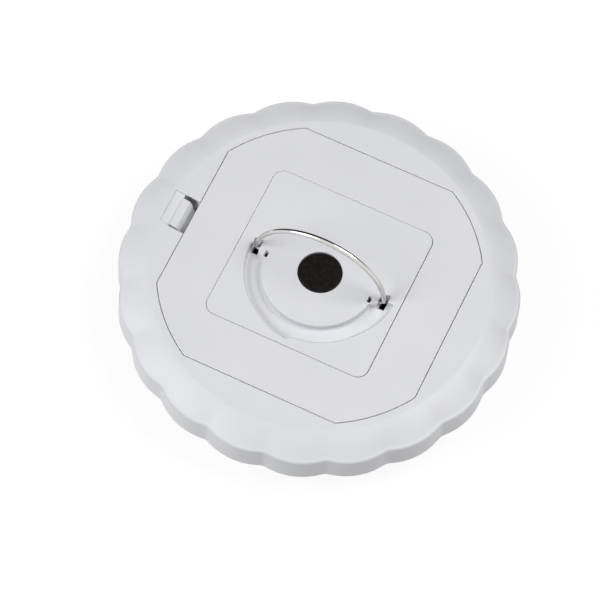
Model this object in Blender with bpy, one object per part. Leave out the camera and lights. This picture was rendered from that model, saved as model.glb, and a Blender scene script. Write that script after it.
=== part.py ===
"""Battery tent light: a scalloped disc housing that lies on its lens, with a hinged battery door,
a sprung latch, a folding wire bail, a disc magnet and a push button.

Metres, +Z up. The lamp lies on its front ring at z = 0 and its back faces up. The battery door
hinges at +X, its latch is at -X and the bail folds down towards -Y.
"""
import math

import bmesh
import bpy
from mathutils import Matrix, Vector

# Clearances
GAP = 0.0003
OVERRUN = 0.002

# Scalloped rim and crowned back
RIM_BAND = 0.0045
LOBE_COUNT = 20
LOBE_RADIUS = 0.0228
LOBE_STEPS = 6
RIM_WALL = 0.0117
RIM_ROUND = 0.0012
CROWN_RISE = 0.004
BACK_FLAT_MARGIN = 0.0025
CROWN_RINGS = 4
RIM_ROUND_STEPS = 2
SHELL_WALL = 0.002
CROWN_RUN = 0.007

# Battery door and its well
DOOR_BULGE = 0.0076
DOOR_THICKNESS = 0.002
DOOR_ARC_STEPS = 10
WELL_LEDGE = 0.0016
WELL_WALL = 0.001
FLOOR_THICKNESS = 0.0015

# Square hub with its round boss
HUB_MARGIN = 0.0019
HUB_CORNER = 0.004
HUB_WALL = 0.002
HUB_TOP_THICKNESS = 0.006
CORNER_STEPS = 5

# Hinge tongues
TONGUE_WIDTH = 0.008
TONGUE_THICKNESS = 0.0012
TONGUE_DROP = 0.0013
TONGUE_REACH = 0.0023
TONGUE_ROOT = 0.004
TONGUE_SPACING_SHARE = 1.033
TONGUE_SWEEP = 0.002

# Latch strap, its notch and the finger recess
LATCH_WIDTH = 0.0124
LATCH_SHIFT = 0.0002
LATCH_OPENING = 0.0034
LATCH_DEPTH = 0.0058
LATCH_STRAP = 0.0012
LATCH_HEAD = 0.0025
LATCH_HEAD_DEPTH = 0.0051
LATCH_NOSE_CHAMFER = 0.0008
LATCH_LEG = 0.0015
LATCH_CURVE_STEPS = 8
NOTCH_SPACE = 0.0007
NOTCH_WALL = 0.0014
RECESS_LENGTH = 0.0037
RECESS_DEPTH = 0.0022
RECESS_EDGE_DEPTH = 0.0005
CATCH_LEDGE = 0.0012
CATCH_UNDERCUT = 0.001
CATCH_HEIGHT = 0.002

# Wire bail, its boss, groove and pockets
BAIL_WIRE = 0.0018
BAIL_BEND = 0.0016
BAIL_END = 0.005
BAIL_PIVOT_DEPTH = 0.002
BAIL_LEAN = math.radians(2.9)
BAIL_STEPS = 28
BEND_STEPS = 4
BOSS_MARGIN = 0.0037
GROOVE_MARGIN = 0.0019
HUB_BORDER = 0.0042
GROOVE_ROUND = 0.001
GROOVE_STEPS = 18
GROOVE_ROUND_STEPS = 3
POCKET_LENGTH = 0.005
POCKET_WIDTH = 0.003
POCKET_DEPTH = 0.0036
SLOT_WIDTH = 0.001
SLOT_LENGTH = 0.0024
SLOT_SHIFT = 0.0018
PIVOT_HOLE_LENGTH = 0.004
PIVOT_HOLE_WIDTH = 0.0021

# Disc magnet
MAGNET_RADIUS = 0.0075
MAGNET_THICKNESS = 0.003
MAGNET_RECESS = 0.0004

# AA cells and their contacts
CELL_RADIUS = 0.00725
CELL_LENGTH = 0.0505
CELL_NUB_RADIUS = 0.00275
CELL_NUB_LENGTH = 0.0015
CELL_SPACE = 0.00035
HUB_SPACE = 0.00205
CELL_COUNT = 4
CONTACT_ROOM = 0.0061
STRIP_THICKNESS = 0.0004
STRIP_HEIGHT = 0.009
STRIP_WIDTH = 0.0096
STRIP_CORNER = 0.0044
PRONG_WIDTH = 0.002
RIB_THICKNESS = 0.0014
RIB_INSET = 0.006
RIB_DROP = 0.0013
SPRING_TURNS = 3.5
SPRING_WIRE = 0.0007
SPRING_BASE_RADIUS = 0.0036
SPRING_TIP_RADIUS = 0.0018
SPRING_TURN_STEPS = 8

# Front ring, posts and screws
DRUM_INSET = 0.0035
DRUM_DRAFT = 0.0015
DRUM_WALL = 0.002
FRONT_EDGE = 0.0008
FRONT_LIP = 0.0032
FRONT_THICKNESS = 0.002
PLATE_THICKNESS = 0.0015
POST_INSET = 0.0058
POST_RADIUS = 0.0032
SCREW_SHANK_RADIUS = 0.0013
SCREW_HEAD_RADIUS = 0.003
SCREW_HEAD_HEIGHT = 0.0019
SCREW_SLOT_WIDTH = 0.0008
SCREW_SLOT_DEPTH = 0.0009
SCREW_LENGTH = 0.0065

# Lens, reflector, board, LEDs
LENS_THICKNESS = 0.0015
LENS_RECESS = 0.0008
LENS_SPACE = 0.0005
REFLECTOR_HEIGHT = 0.003
REFLECTOR_PLATE = 0.001
REFLECTOR_SLOPE = 0.0034
REFLECTOR_EDGE = 0.001
BOARD_THICKNESS = 0.0012
LED_BASE_RADIUS = 0.0025
LED_BASE_HEIGHT = 0.001
LED_DOME_RADIUS = 0.0019
LED_DOME_HEIGHT = 0.0014
LED_MARGIN = 0.0075
OUTER_LED_COUNT = 12
LED_RING_SPACE = 0.016
INNER_LED_COUNT = 6
LED_TURN_SHARE = 0.25

# Push button and switch
BUTTON_RADIUS = 0.008
BUTTON_RECESS = 0.0006
BUTTON_CAP = 0.0015
BUTTON_FLANGE = 0.0015
BUTTON_FLANGE_THICKNESS = 0.001
BUTTON_WALL = 0.0012
BUTTON_TRAVEL = 0.0015
BUTTON_BOSS_HEIGHT = 0.0005
SWITCH_SIZE = 0.0085
PLUNGER_RADIUS = 0.0015
PLUNGER_LENGTH = 0.0025

ROUND_SIDES = 60
CELL_SIDES = 24
SMALL_SIDES = 16
TINY_SIDES = 12
LED_SIDES = 8
LED_DOME_STEPS = 3
MAGNET_SIDES = 30
MERGE_DISTANCE = 1e-6
SHARP_ANGLE = math.radians(35)

# Heights worked out from the sizes above
LENS_BACK = FRONT_THICKNESS + GAP + LENS_THICKNESS
REFLECTOR_FRONT = LENS_BACK + LENS_SPACE
REFLECTOR_TOP = REFLECTOR_FRONT + REFLECTOR_HEIGHT
BOARD_UNDER = REFLECTOR_TOP + GAP
BOARD_TOP = BOARD_UNDER + BOARD_THICKNESS
FLOOR_UNDER = BOARD_TOP + GAP
FLOOR_TOP = FLOOR_UNDER + FLOOR_THICKNESS
CELL_HEIGHT = FLOOR_TOP + GAP + CELL_RADIUS
DOOR_UNDER = CELL_HEIGHT + CELL_RADIUS + GAP
LEDGE_TOP = DOOR_UNDER - GAP
BACK = DOOR_UNDER + DOOR_THICKNESS
RIM_TOP = BACK - CROWN_RISE
RIM_HEIGHT = RIM_TOP - RIM_WALL
PIVOT = BACK - BAIL_PIVOT_DEPTH
GROOVE_DEPTH = BAIL_PIVOT_DEPTH + BAIL_WIRE / 2 + GAP

# Places worked out from the sizes above
STRIP_PLACE = (CELL_LENGTH + CONTACT_ROOM) / 2
CELL_FRONT = STRIP_PLACE - GAP
CELL_BACK = CELL_FRONT - CELL_LENGTH
HUB_HALF = STRIP_PLACE + HUB_MARGIN
GROOVE_OUTER_RADIUS = HUB_HALF - HUB_BORDER
BAIL_RADIUS = GROOVE_OUTER_RADIUS - GROOVE_MARGIN
BOSS_RADIUS = BAIL_RADIUS - BOSS_MARGIN
CELL_PATH = HUB_HALF + HUB_SPACE + CELL_RADIUS
DOOR_HALF = CELL_PATH + CELL_RADIUS + CELL_SPACE + WELL_LEDGE - GAP
DOOR_CIRCLE = DOOR_HALF + DOOR_BULGE
WELL_HALF = DOOR_HALF + GAP
WELL_CIRCLE = DOOR_CIRCLE + GAP
TONGUE_SPACING = DOOR_HALF * TONGUE_SPACING_SHARE
NOTCH_WIDTH = LATCH_WIDTH + 2 * NOTCH_SPACE
LATCH_EDGE = DOOR_HALF + LATCH_OPENING + LATCH_HEAD
NOTCH_EDGE = LATCH_EDGE + GAP
HINGE_X = DOOR_HALF + GAP / 2
BACK_FLAT_RADIUS = DOOR_CIRCLE + BACK_FLAT_MARGIN
RIM_INNER_RADIUS = BACK_FLAT_RADIUS + CROWN_RUN
RIM_TIP_RADIUS = RIM_INNER_RADIUS + RIM_BAND
DRUM_RADIUS = RIM_INNER_RADIUS - DRUM_INSET
DRUM_FRONT_RADIUS = DRUM_RADIUS - DRUM_DRAFT
POST_REACH = DOOR_CIRCLE - POST_INSET
POST_PLACE = POST_REACH * math.cos(math.pi / 4)
LENS_RADIUS = POST_REACH - POST_RADIUS - GAP
FRONT_OPENING = LENS_RADIUS - FRONT_LIP
OUTER_LED_RADIUS = FRONT_OPENING - LED_MARGIN
INNER_LED_RADIUS = OUTER_LED_RADIUS - LED_RING_SPACE
BUTTON_HOLE = BUTTON_RADIUS + GAP


def material(name, color, roughness, metallic=0.0, transmission=0.0):
    """A plain finish for one kind of piece."""
    finish = bpy.data.materials.get(name)
    if finish:
        return finish
    finish = bpy.data.materials.new(name)
    finish.use_nodes = True
    shader = finish.node_tree.nodes["Principled BSDF"]
    shader.inputs["Base Color"].default_value = (*color, 1.0)
    shader.inputs["Roughness"].default_value = roughness
    shader.inputs["Metallic"].default_value = metallic
    shader.inputs["Transmission Weight"].default_value = transmission
    return finish


def place(name, data, finish=None):
    """An object for a mesh or curve, in the scene's collection."""
    item = bpy.data.objects.new(name, data)
    bpy.context.scene.collection.objects.link(item)
    if finish:
        data.materials.append(finish)
    return item


def close_mesh(name, mesh_edit, finish=None, smooth=False):
    """Ends a mesh edit: merges doubles, faces outwards and makes the object."""
    bmesh.ops.remove_doubles(mesh_edit, verts=mesh_edit.verts, dist=MERGE_DISTANCE)
    bmesh.ops.recalc_face_normals(mesh_edit, faces=mesh_edit.faces)
    mesh = bpy.data.meshes.new(name)
    mesh_edit.to_mesh(mesh)
    mesh_edit.free()
    if smooth:
        mesh.shade_smooth()
        mesh.set_sharp_from_angle(angle=SHARP_ANGLE)
    return place(name, mesh, finish)


def prism(name, outline, low, high, finish=None, smooth=False):
    """An outline in plan, extruded from one height to another."""
    mesh_edit = bmesh.new()
    face = mesh_edit.faces.new([mesh_edit.verts.new((x, y, low)) for x, y in outline])
    grown = bmesh.ops.extrude_face_region(mesh_edit, geom=[face], use_keep_orig=True)
    raised = [item for item in grown["geom"] if isinstance(item, bmesh.types.BMVert)]
    bmesh.ops.translate(mesh_edit, verts=raised, vec=(0, 0, high - low))
    return close_mesh(name, mesh_edit, finish, smooth)


def side_prism(name, outline, low, high, finish=None, smooth=False):
    """An outline of x and z, extruded along Y."""
    mesh_edit = bmesh.new()
    face = mesh_edit.faces.new([mesh_edit.verts.new((x, low, z)) for x, z in outline])
    grown = bmesh.ops.extrude_face_region(mesh_edit, geom=[face], use_keep_orig=True)
    moved = [item for item in grown["geom"] if isinstance(item, bmesh.types.BMVert)]
    bmesh.ops.translate(mesh_edit, verts=moved, vec=(0, high - low, 0))
    return close_mesh(name, mesh_edit, finish, smooth)


def block(name, low, high, finish=None):
    """A box between two corners."""
    outline = [(low[0], low[1]), (high[0], low[1]), (high[0], high[1]), (low[0], high[1])]
    return prism(name, outline, low[2], high[2], finish)


def loft(name, rings, finish=None, smooth=False):
    """A closed body through rings of equal count, capped at both ends."""
    mesh_edit = bmesh.new()
    loops = []
    for ring in rings:
        corners = [mesh_edit.verts.new(point) for point in ring]
        edges = [mesh_edit.edges.new((a, b)) for a, b in zip(corners, corners[1:] + corners[:1])]
        loops.append((corners, edges))
    for (_, lower), (_, upper) in zip(loops, loops[1:]):
        bmesh.ops.bridge_loops(mesh_edit, edges=lower + upper)
    mesh_edit.faces.new(loops[0][0])
    mesh_edit.faces.new(loops[-1][0])
    return close_mesh(name, mesh_edit, finish, smooth)


def turned(name, profile, sides, finish=None, closed=True, smooth=True):
    """A profile of (radius, height) turned once round Z; an open one starts and ends on the axis."""
    mesh_edit = bmesh.new()
    corners = [mesh_edit.verts.new((radius, 0, height)) for radius, height in profile]
    pairs = list(zip(corners, corners[1:]))
    if closed:
        pairs.append((corners[-1], corners[0]))
    edges = [mesh_edit.edges.new(pair) for pair in pairs]
    bmesh.ops.spin(
        mesh_edit,
        geom=corners + edges,
        cent=(0, 0, 0),
        axis=(0, 0, 1),
        angle=math.tau,
        steps=sides,
        use_merge=True,
    )
    return close_mesh(name, mesh_edit, finish, smooth)


def part_turned(name, profile, start, sweep, steps):
    """A closed profile turned part of the way round Z, with flat ends."""
    rings = []
    for step in range(steps + 1):
        angle = start + sweep * step / steps
        rings.append([(r * math.cos(angle), r * math.sin(angle), z) for r, z in profile])
    return loft(name, rings)


def cylinder(name, radius, low, high, sides, finish=None, smooth=True):
    """A round bar on the Z axis."""
    return prism(name, circle(radius, sides), low, high, finish, smooth)


def circle(radius, sides):
    return [
        (radius * math.cos(math.tau * step / sides), radius * math.sin(math.tau * step / sides))
        for step in range(sides)
    ]


def bake_place(item, matrix):
    """Moves the mesh itself, so that the object stays at the origin."""
    item.data.transform(matrix)
    return item


def shape_with(target, tool, operation):
    """Adds a Boolean modifier and hides the shape it uses."""
    tool.hide_render = True
    tool.display_type = "WIRE"
    change = target.modifiers.new(tool.name, "BOOLEAN")
    change.operation = operation
    change.solver = "EXACT"
    change.object = tool


def cut(target, tool):
    shape_with(target, tool, "DIFFERENCE")


def join(target, tool):
    shape_with(target, tool, "UNION")


def quarter_turn(index):
    return Matrix.Rotation(index * math.tau / CELL_COUNT, 4, "Z")


def lobe_radius(angle):
    """Distance from the centre to the scalloped rim at an angle; a lobe's tip is at angle zero."""
    pitch = math.tau / LOBE_COUNT
    offset = (angle + pitch / 2) % pitch - pitch / 2
    centre = RIM_TIP_RADIUS - LOBE_RADIUS
    return centre * math.cos(offset) + math.sqrt(LOBE_RADIUS**2 - (centre * math.sin(offset)) ** 2)


def scallop_ring(inset, height, roundness=0.0):
    """One ring of the rim; roundness 0 follows the lobes and 1 is the circle of the flat back."""
    points = []
    count = LOBE_COUNT * LOBE_STEPS
    for step in range(count):
        angle = math.tau * (step + 1 / 2) / count
        radius = (lobe_radius(angle) - inset) * (1 - roundness) + BACK_FLAT_RADIUS * roundness
        points.append((radius * math.cos(angle), radius * math.sin(angle), height))
    return points


def crown_height(share):
    """Height of the crowned back: share 0 is the rim's top edge and 1 the flat middle."""
    return RIM_TOP + CROWN_RISE * math.sin(share * math.pi / 2)


def door_outline(half, reach):
    """A square whose corners are cut by a circle."""
    first = math.acos(half / reach)
    last = math.pi / 2 - first
    points = []
    for quarter in range(4):
        for step in range(DOOR_ARC_STEPS + 1):
            angle = quarter * math.pi / 2 + first + (last - first) * step / DOOR_ARC_STEPS
            points.append((reach * math.cos(angle), reach * math.sin(angle)))
    return points


def rounded_square(half, corner):
    points = []
    for quarter in range(4):
        turn = quarter * math.pi / 2
        centre = half - corner
        side = math.cos(turn + math.pi / 4) * math.sqrt(2) * centre
        rise = math.sin(turn + math.pi / 4) * math.sqrt(2) * centre
        for step in range(CORNER_STEPS + 1):
            angle = turn + math.pi / 2 * step / CORNER_STEPS
            points.append((side + corner * math.cos(angle), rise + corner * math.sin(angle)))
    return points


def housing_shell(finish):
    """The outer form: a straight scalloped wall, a rounded edge and a crowned back."""
    rings = [scallop_ring(0, RIM_HEIGHT)]
    for step in range(RIM_ROUND_STEPS + 1):
        angle = step / RIM_ROUND_STEPS * math.pi / 2
        inset = RIM_ROUND * (1 - math.cos(angle))
        rings.append(scallop_ring(inset, RIM_TOP - RIM_ROUND + RIM_ROUND * math.sin(angle)))
    for step in range(1, CROWN_RINGS + 1):
        share = step / CROWN_RINGS
        rings.append(scallop_ring(RIM_ROUND, crown_height(share), share))
    return loft("rear_housing", rings, finish, smooth=True)


def housing_cavity():
    """The hollow under the back, one wall thick from it."""
    profile = [(0, RIM_HEIGHT - OVERRUN), (RIM_INNER_RADIUS, RIM_HEIGHT - OVERRUN)]
    for step in range(CROWN_RINGS + 1):
        share = step / CROWN_RINGS
        radius = RIM_INNER_RADIUS * (1 - share) + BACK_FLAT_RADIUS * share
        profile.append((radius, crown_height(share) - SHELL_WALL))
    profile.append((0, BACK - SHELL_WALL))
    return turned("cavity_cut", profile, ROUND_SIDES, closed=False)


def battery_well(housing):
    """The walled well for the cells, with the ledge that the door rests on."""
    reach = WELL_WALL
    wall = prism(
        "well_block",
        door_outline(WELL_HALF + reach, WELL_CIRCLE + reach),
        FLOOR_UNDER,
        BACK - SHELL_WALL / 2,
    )
    join(housing, wall)
    seat = prism("seat_cut", door_outline(WELL_HALF, WELL_CIRCLE), LEDGE_TOP, BACK + OVERRUN)
    cut(housing, seat)
    inner = door_outline(WELL_HALF - WELL_LEDGE, WELL_CIRCLE - WELL_LEDGE)
    cut(housing, prism("well_cut", inner, FLOOR_TOP, BACK + OVERRUN))


def hub_tower(housing):
    """The square hub: hollow below, with its top level with the door."""
    tower = prism("hub_block", rounded_square(HUB_HALF, HUB_CORNER), FLOOR_UNDER, BACK)
    join(housing, tower)
    inner = rounded_square(HUB_HALF - HUB_WALL, HUB_CORNER - HUB_WALL)
    hollow = prism("hub_cut", inner, FLOOR_UNDER - OVERRUN, BACK - HUB_TOP_THICKNESS)
    cut(housing, hollow)


def hub_details(housing):
    """Magnet seat, half-round groove, pivot pockets, bores and core slots in the hub's top."""
    depth = MAGNET_RECESS + MAGNET_THICKNESS + GAP
    seat = cylinder("magnet_cut", MAGNET_RADIUS + GAP, BACK - depth, BACK + OVERRUN, ROUND_SIDES)
    cut(housing, seat)
    floor = BACK - GROOVE_DEPTH
    profile = [(BOSS_RADIUS, BACK + OVERRUN), (BOSS_RADIUS, floor + GROOVE_ROUND)]
    for step in range(1, GROOVE_ROUND_STEPS + 1):
        angle = step / GROOVE_ROUND_STEPS * math.pi / 2
        radius = BOSS_RADIUS + GROOVE_ROUND * (1 - math.cos(angle))
        profile.append((radius, floor + GROOVE_ROUND * (1 - math.sin(angle))))
    for step in range(GROOVE_ROUND_STEPS + 1):
        angle = step / GROOVE_ROUND_STEPS * math.pi / 2
        radius = GROOVE_OUTER_RADIUS - GROOVE_ROUND * (1 - math.sin(angle))
        profile.append((radius, floor + GROOVE_ROUND * (1 - math.cos(angle))))
    profile.append((GROOVE_OUTER_RADIUS, BACK + OVERRUN))
    groove = part_turned("groove_cut", profile, -math.pi, math.pi, GROOVE_STEPS)
    cut(housing, groove)
    slot_reach = BAIL_RADIUS - BAIL_END
    under = BACK - HUB_TOP_THICKNESS - OVERRUN
    for side in (-1, 1):
        centre = side * BAIL_RADIUS
        pocket = block(
            f"pocket_cut_{side}",
            (centre - POCKET_WIDTH / 2, -POCKET_LENGTH / 2, BACK - POCKET_DEPTH),
            (centre + POCKET_WIDTH / 2, POCKET_LENGTH / 2, BACK + OVERRUN),
        )
        cut(housing, pocket)
        hole = block(
            f"pivot_hole_cut_{side}",
            (centre - PIVOT_HOLE_WIDTH / 2, -PIVOT_HOLE_LENGTH / 2, under),
            (centre + PIVOT_HOLE_WIDTH / 2, PIVOT_HOLE_LENGTH / 2, PIVOT),
        )
        cut(housing, hole)
        length = BAIL_END + GAP
        bore = cylinder(f"bore_cut_{side}", BAIL_WIRE / 2 + GAP, 0, length, TINY_SIDES)
        turn = Matrix.Rotation(side * math.pi / 2, 4, "Y")
        half_facet = Matrix.Rotation(math.pi / TINY_SIDES, 4, "Z")
        start = Matrix.Translation((side * (slot_reach - GAP), 0, PIVOT))
        bake_place(bore, start @ turn @ half_facet)
        cut(housing, bore)
        middle = side * (slot_reach + SLOT_WIDTH / 2)
        slot = block(
            f"core_cut_{side}",
            (middle - SLOT_WIDTH / 2, -SLOT_SHIFT - SLOT_LENGTH / 2, under),
            (middle + SLOT_WIDTH / 2, -SLOT_SHIFT + SLOT_LENGTH / 2, BACK + OVERRUN),
        )
        cut(housing, slot)


def hinge_slots(housing):
    """Two slots under the back's skin that the door's tongues turn in."""
    top = BACK - TONGUE_DROP + GAP
    bottom = BACK - TONGUE_DROP - TONGUE_THICKNESS - TONGUE_SWEEP
    for side in (-1, 1):
        middle = side * TONGUE_SPACING / 2
        half = TONGUE_WIDTH / 2 + GAP
        slot = block(
            f"hinge_cut_{side}",
            (WELL_HALF - WELL_LEDGE - OVERRUN, middle - half, bottom),
            (WELL_HALF + WELL_WALL + OVERRUN, middle + half, top),
        )
        cut(housing, slot)


def latch_notch(housing):
    """A walled notch for the latch, a catch ledge and a sloping recess for a fingertip."""
    half = NOTCH_WIDTH / 2
    floor = BACK - LATCH_DEPTH - LATCH_STRAP - GAP
    ledge_under = BACK - RECESS_DEPTH - CATCH_LEDGE
    wall = block(
        "notch_block",
        (-NOTCH_EDGE - CATCH_UNDERCUT - NOTCH_WALL, -half - NOTCH_WALL, floor - NOTCH_WALL),
        (-WELL_HALF - WELL_WALL / 2, half + NOTCH_WALL, BACK - SHELL_WALL / 2),
    )
    join(housing, wall)
    notch = block(
        "notch_cut",
        (-NOTCH_EDGE, -half, floor),
        (-WELL_HALF + WELL_LEDGE + OVERRUN, half, BACK + OVERRUN),
    )
    cut(housing, notch)
    undercut = block(
        "catch_cut",
        (-NOTCH_EDGE - CATCH_UNDERCUT, -LATCH_WIDTH / 2, ledge_under - CATCH_HEIGHT),
        (-NOTCH_EDGE + OVERRUN, LATCH_WIDTH / 2, ledge_under),
    )
    cut(housing, undercut)
    outline = [
        (-NOTCH_EDGE + OVERRUN, BACK - RECESS_DEPTH),
        (-NOTCH_EDGE, BACK - RECESS_DEPTH),
        (-NOTCH_EDGE - RECESS_LENGTH, BACK - RECESS_EDGE_DEPTH),
        (-NOTCH_EDGE - RECESS_LENGTH, BACK + OVERRUN),
        (-NOTCH_EDGE + OVERRUN, BACK + OVERRUN),
    ]
    cut(housing, side_prism("recess_cut", outline, -half, half))


def contact_ribs(housing):
    """Ribs behind the contacts at the four corners of the well."""
    near = STRIP_PLACE + STRIP_THICKNESS + GAP
    far = WELL_HALF - WELL_LEDGE + WELL_WALL / 2
    top = LEDGE_TOP - RIB_DROP
    rib_end = CELL_PATH - RIB_INSET
    for index in range(CELL_COUNT):
        first = block(
            f"rib_a_{index}",
            (near, -far, FLOOR_UNDER + FLOOR_THICKNESS / 2),
            (near + RIB_THICKNESS, -rib_end, top),
        )
        second = block(
            f"rib_b_{index}",
            (rib_end, -near - RIB_THICKNESS, FLOOR_UNDER + FLOOR_THICKNESS / 2),
            (far, -near, top),
        )
        for rib in (first, second):
            bake_place(rib, quarter_turn(index))
            join(housing, rib)


def floor_holes(housing):
    """Screw holes and the two slots for the terminals' prongs."""
    for index in range(CELL_COUNT):
        hole = cylinder(
            f"screw_cut_{index}",
            SCREW_SHANK_RADIUS + GAP,
            FLOOR_UNDER - OVERRUN,
            FLOOR_TOP + OVERRUN,
            SMALL_SIDES,
        )
        bake_place(hole, quarter_turn(index) @ Matrix.Translation((POST_PLACE, -POST_PLACE, 0)))
        cut(housing, hole)
    wide = PRONG_WIDTH / 2 + GAP
    near = STRIP_PLACE - GAP
    far = STRIP_PLACE + STRIP_THICKNESS + 2 * GAP
    low = FLOOR_UNDER - OVERRUN
    high = FLOOR_TOP + OVERRUN
    first = block("prong_cut_a", (near, -CELL_PATH - wide, low), (far, -CELL_PATH + wide, high))
    second = block("prong_cut_b", (CELL_PATH - wide, -far, low), (CELL_PATH + wide, -near, high))
    for slot in (first, second):
        bake_place(slot, quarter_turn(CELL_COUNT - 1))
        cut(housing, slot)


def rear_housing(finish):
    housing = housing_shell(finish)
    cut(housing, housing_cavity())
    battery_well(housing)
    hub_tower(housing)
    hub_details(housing)
    latch_notch(housing)
    contact_ribs(housing)
    floor_holes(housing)
    hinge_slots(housing)
    return housing


def battery_door(finish, parent):
    """A flat square ring with two hinge tongues and the fixed leg of the latch strap."""
    outline = door_outline(DOOR_HALF, DOOR_CIRCLE)
    door = prism("battery_door", outline, DOOR_UNDER, BACK, finish)
    window = rounded_square(HUB_HALF + GAP, HUB_CORNER + GAP)
    cut(door, prism("window_cut", window, DOOR_UNDER - OVERRUN, BACK + OVERRUN))
    tongue_top = BACK - TONGUE_DROP
    for side in (-1, 1):
        middle = side * TONGUE_SPACING / 2
        tongue = block(
            f"tongue_{side}",
            (DOOR_HALF - TONGUE_ROOT, middle - TONGUE_WIDTH / 2, tongue_top - TONGUE_THICKNESS),
            (DOOR_HALF + TONGUE_REACH, middle + TONGUE_WIDTH / 2, tongue_top),
        )
        join(door, tongue)
    low = LATCH_SHIFT - LATCH_WIDTH / 2
    leg = block(
        "latch_leg",
        (-DOOR_HALF, low, BACK - LATCH_DEPTH + GAP),
        (-DOOR_HALF + LATCH_LEG, low + LATCH_WIDTH, BACK - DOOR_THICKNESS / 2),
    )
    join(door, leg)
    attach(door, parent)
    return door


def door_latch(finish, parent):
    """The sprung part of the latch: a curved strap with a finger tab that snaps under a ledge."""
    head_under = BACK - LATCH_HEAD_DEPTH
    outline = []
    for step in range(LATCH_CURVE_STEPS + 1):
        angle = step / LATCH_CURVE_STEPS * math.pi / 2
        across = LATCH_OPENING * math.cos(angle)
        outline.append((-DOOR_HALF - across, BACK - LATCH_DEPTH * math.sin(angle)))
    outline.append((-DOOR_HALF + LATCH_LEG, BACK - LATCH_DEPTH))
    outline.append((-DOOR_HALF + LATCH_LEG, BACK - LATCH_DEPTH - LATCH_STRAP))
    outer_depth = LATCH_DEPTH + LATCH_STRAP
    meet = math.asin(LATCH_HEAD_DEPTH / outer_depth)
    for step in range(LATCH_CURVE_STEPS + 1):
        angle = math.pi / 2 + (meet - math.pi / 2) * step / LATCH_CURVE_STEPS
        across = (LATCH_OPENING + LATCH_STRAP) * math.cos(angle)
        outline.append((-DOOR_HALF - across, BACK - outer_depth * math.sin(angle)))
    outline.append((-LATCH_EDGE + LATCH_NOSE_CHAMFER, head_under))
    outline.append((-LATCH_EDGE, head_under + LATCH_NOSE_CHAMFER))
    outline.append((-LATCH_EDGE, BACK))
    low = LATCH_SHIFT - LATCH_WIDTH / 2
    latch = side_prism("door_latch", outline, low, low + LATCH_WIDTH, finish)
    attach(latch, parent)
    return latch


def wire(name, points, diameter, finish, resolution):
    """A round wire along points, with closed ends."""
    curve = bpy.data.curves.new(name, "CURVE")
    curve.dimensions = "3D"
    curve.bevel_depth = diameter / 2
    curve.bevel_resolution = resolution
    curve.use_fill_caps = True
    spline = curve.splines.new("POLY")
    spline.points.add(len(points) - 1)
    for point, place_now in zip(spline.points, points):
        point.co = (*place_now, 1.0)
    return place(name, curve, finish)


def bail_points():
    """Centreline of the bail, which leans a little towards +Y, from one in-turned end to the other."""
    half = [Vector((BAIL_RADIUS - BAIL_END, 0, 0)), Vector((BAIL_RADIUS - BAIL_BEND, 0, 0))]
    for step in range(1, BEND_STEPS):
        angle = step / BEND_STEPS * math.pi / 2
        across = BAIL_RADIUS - BAIL_BEND + BAIL_BEND * math.sin(angle)
        half.append(Vector((across, 0, BAIL_BEND * (1 - math.cos(angle)))))
    first = math.asin(BAIL_BEND / BAIL_RADIUS)
    arch = []
    for step in range(BAIL_STEPS + 1):
        angle = first + (math.pi - 2 * first) * step / BAIL_STEPS
        arch.append(Vector((BAIL_RADIUS * math.cos(angle), 0, BAIL_RADIUS * math.sin(angle))))
    mirrored = [Vector((-point.x, 0, point.z)) for point in reversed(half)]
    lean = Matrix.Rotation(-BAIL_LEAN, 3, "X")
    return [lean @ point for point in half + arch + mirrored]


def hanging_bail(finish, parent):
    bail = wire("hanging_bail", bail_points(), BAIL_WIRE, finish, 3)
    bail.parent = parent
    return bail


def attach(item, parent):
    """Parents an object whose mesh is in world places, keeping it where it is."""
    item.parent = parent
    item.matrix_parent_inverse = Matrix.Translation(parent.location).inverted()


def axis_empty(name, location):
    empty = bpy.data.objects.new(name, None)
    bpy.context.scene.collection.objects.link(empty)
    empty.location = location
    return empty


def magnet(finish):
    top = BACK - MAGNET_RECESS
    return cylinder("magnet", MAGNET_RADIUS, top - MAGNET_THICKNESS, top, MAGNET_SIDES, finish)


def battery_cell(index, finish):
    """One AA cell, its nub towards the next corner round the hub."""
    shoulder = CELL_LENGTH - CELL_NUB_LENGTH
    profile = [
        (0, 0),
        (CELL_RADIUS, 0),
        (CELL_RADIUS, shoulder),
        (CELL_NUB_RADIUS, shoulder),
        (CELL_NUB_RADIUS, CELL_LENGTH),
        (0, CELL_LENGTH),
    ]
    cell = turned(f"battery_cell_{index + 1}", profile, CELL_SIDES, finish, closed=False)
    lie = Matrix.Translation((CELL_BACK, -CELL_PATH, CELL_HEIGHT)) @ Matrix.Rotation(
        math.pi / 2, 4, "Y"
    )
    return bake_place(cell, quarter_turn(index) @ lie)


def contact_spring(index, finish):
    """The conical coil that presses on a cell's flat end."""
    length = CELL_BACK - SPRING_WIRE / 2 - GAP + STRIP_PLACE - SPRING_WIRE / 2 - GAP
    start = -STRIP_PLACE + SPRING_WIRE / 2 + GAP
    points = []
    count = round(SPRING_TURNS * SPRING_TURN_STEPS)
    for step in range(count + 1):
        share = step / count
        angle = share * SPRING_TURNS * math.tau
        radius = SPRING_BASE_RADIUS + (SPRING_TIP_RADIUS - SPRING_BASE_RADIUS) * share
        local = Vector(
            (
                start + length * share,
                -CELL_PATH + radius * math.cos(angle),
                CELL_HEIGHT + radius * math.sin(angle),
            )
        )
        points.append(quarter_turn(index) @ local)
    return wire(f"contact_spring_{index + 1}", points, SPRING_WIRE, finish, 1)


def spring_clearance():
    """Least gap between neighbouring turns of a contact spring."""
    rise = (CELL_BACK + STRIP_PLACE - SPRING_WIRE - 2 * GAP) / SPRING_TURNS
    inward = (SPRING_BASE_RADIUS - SPRING_TIP_RADIUS) / SPRING_TURNS
    return math.hypot(rise, inward) - SPRING_WIRE


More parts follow.
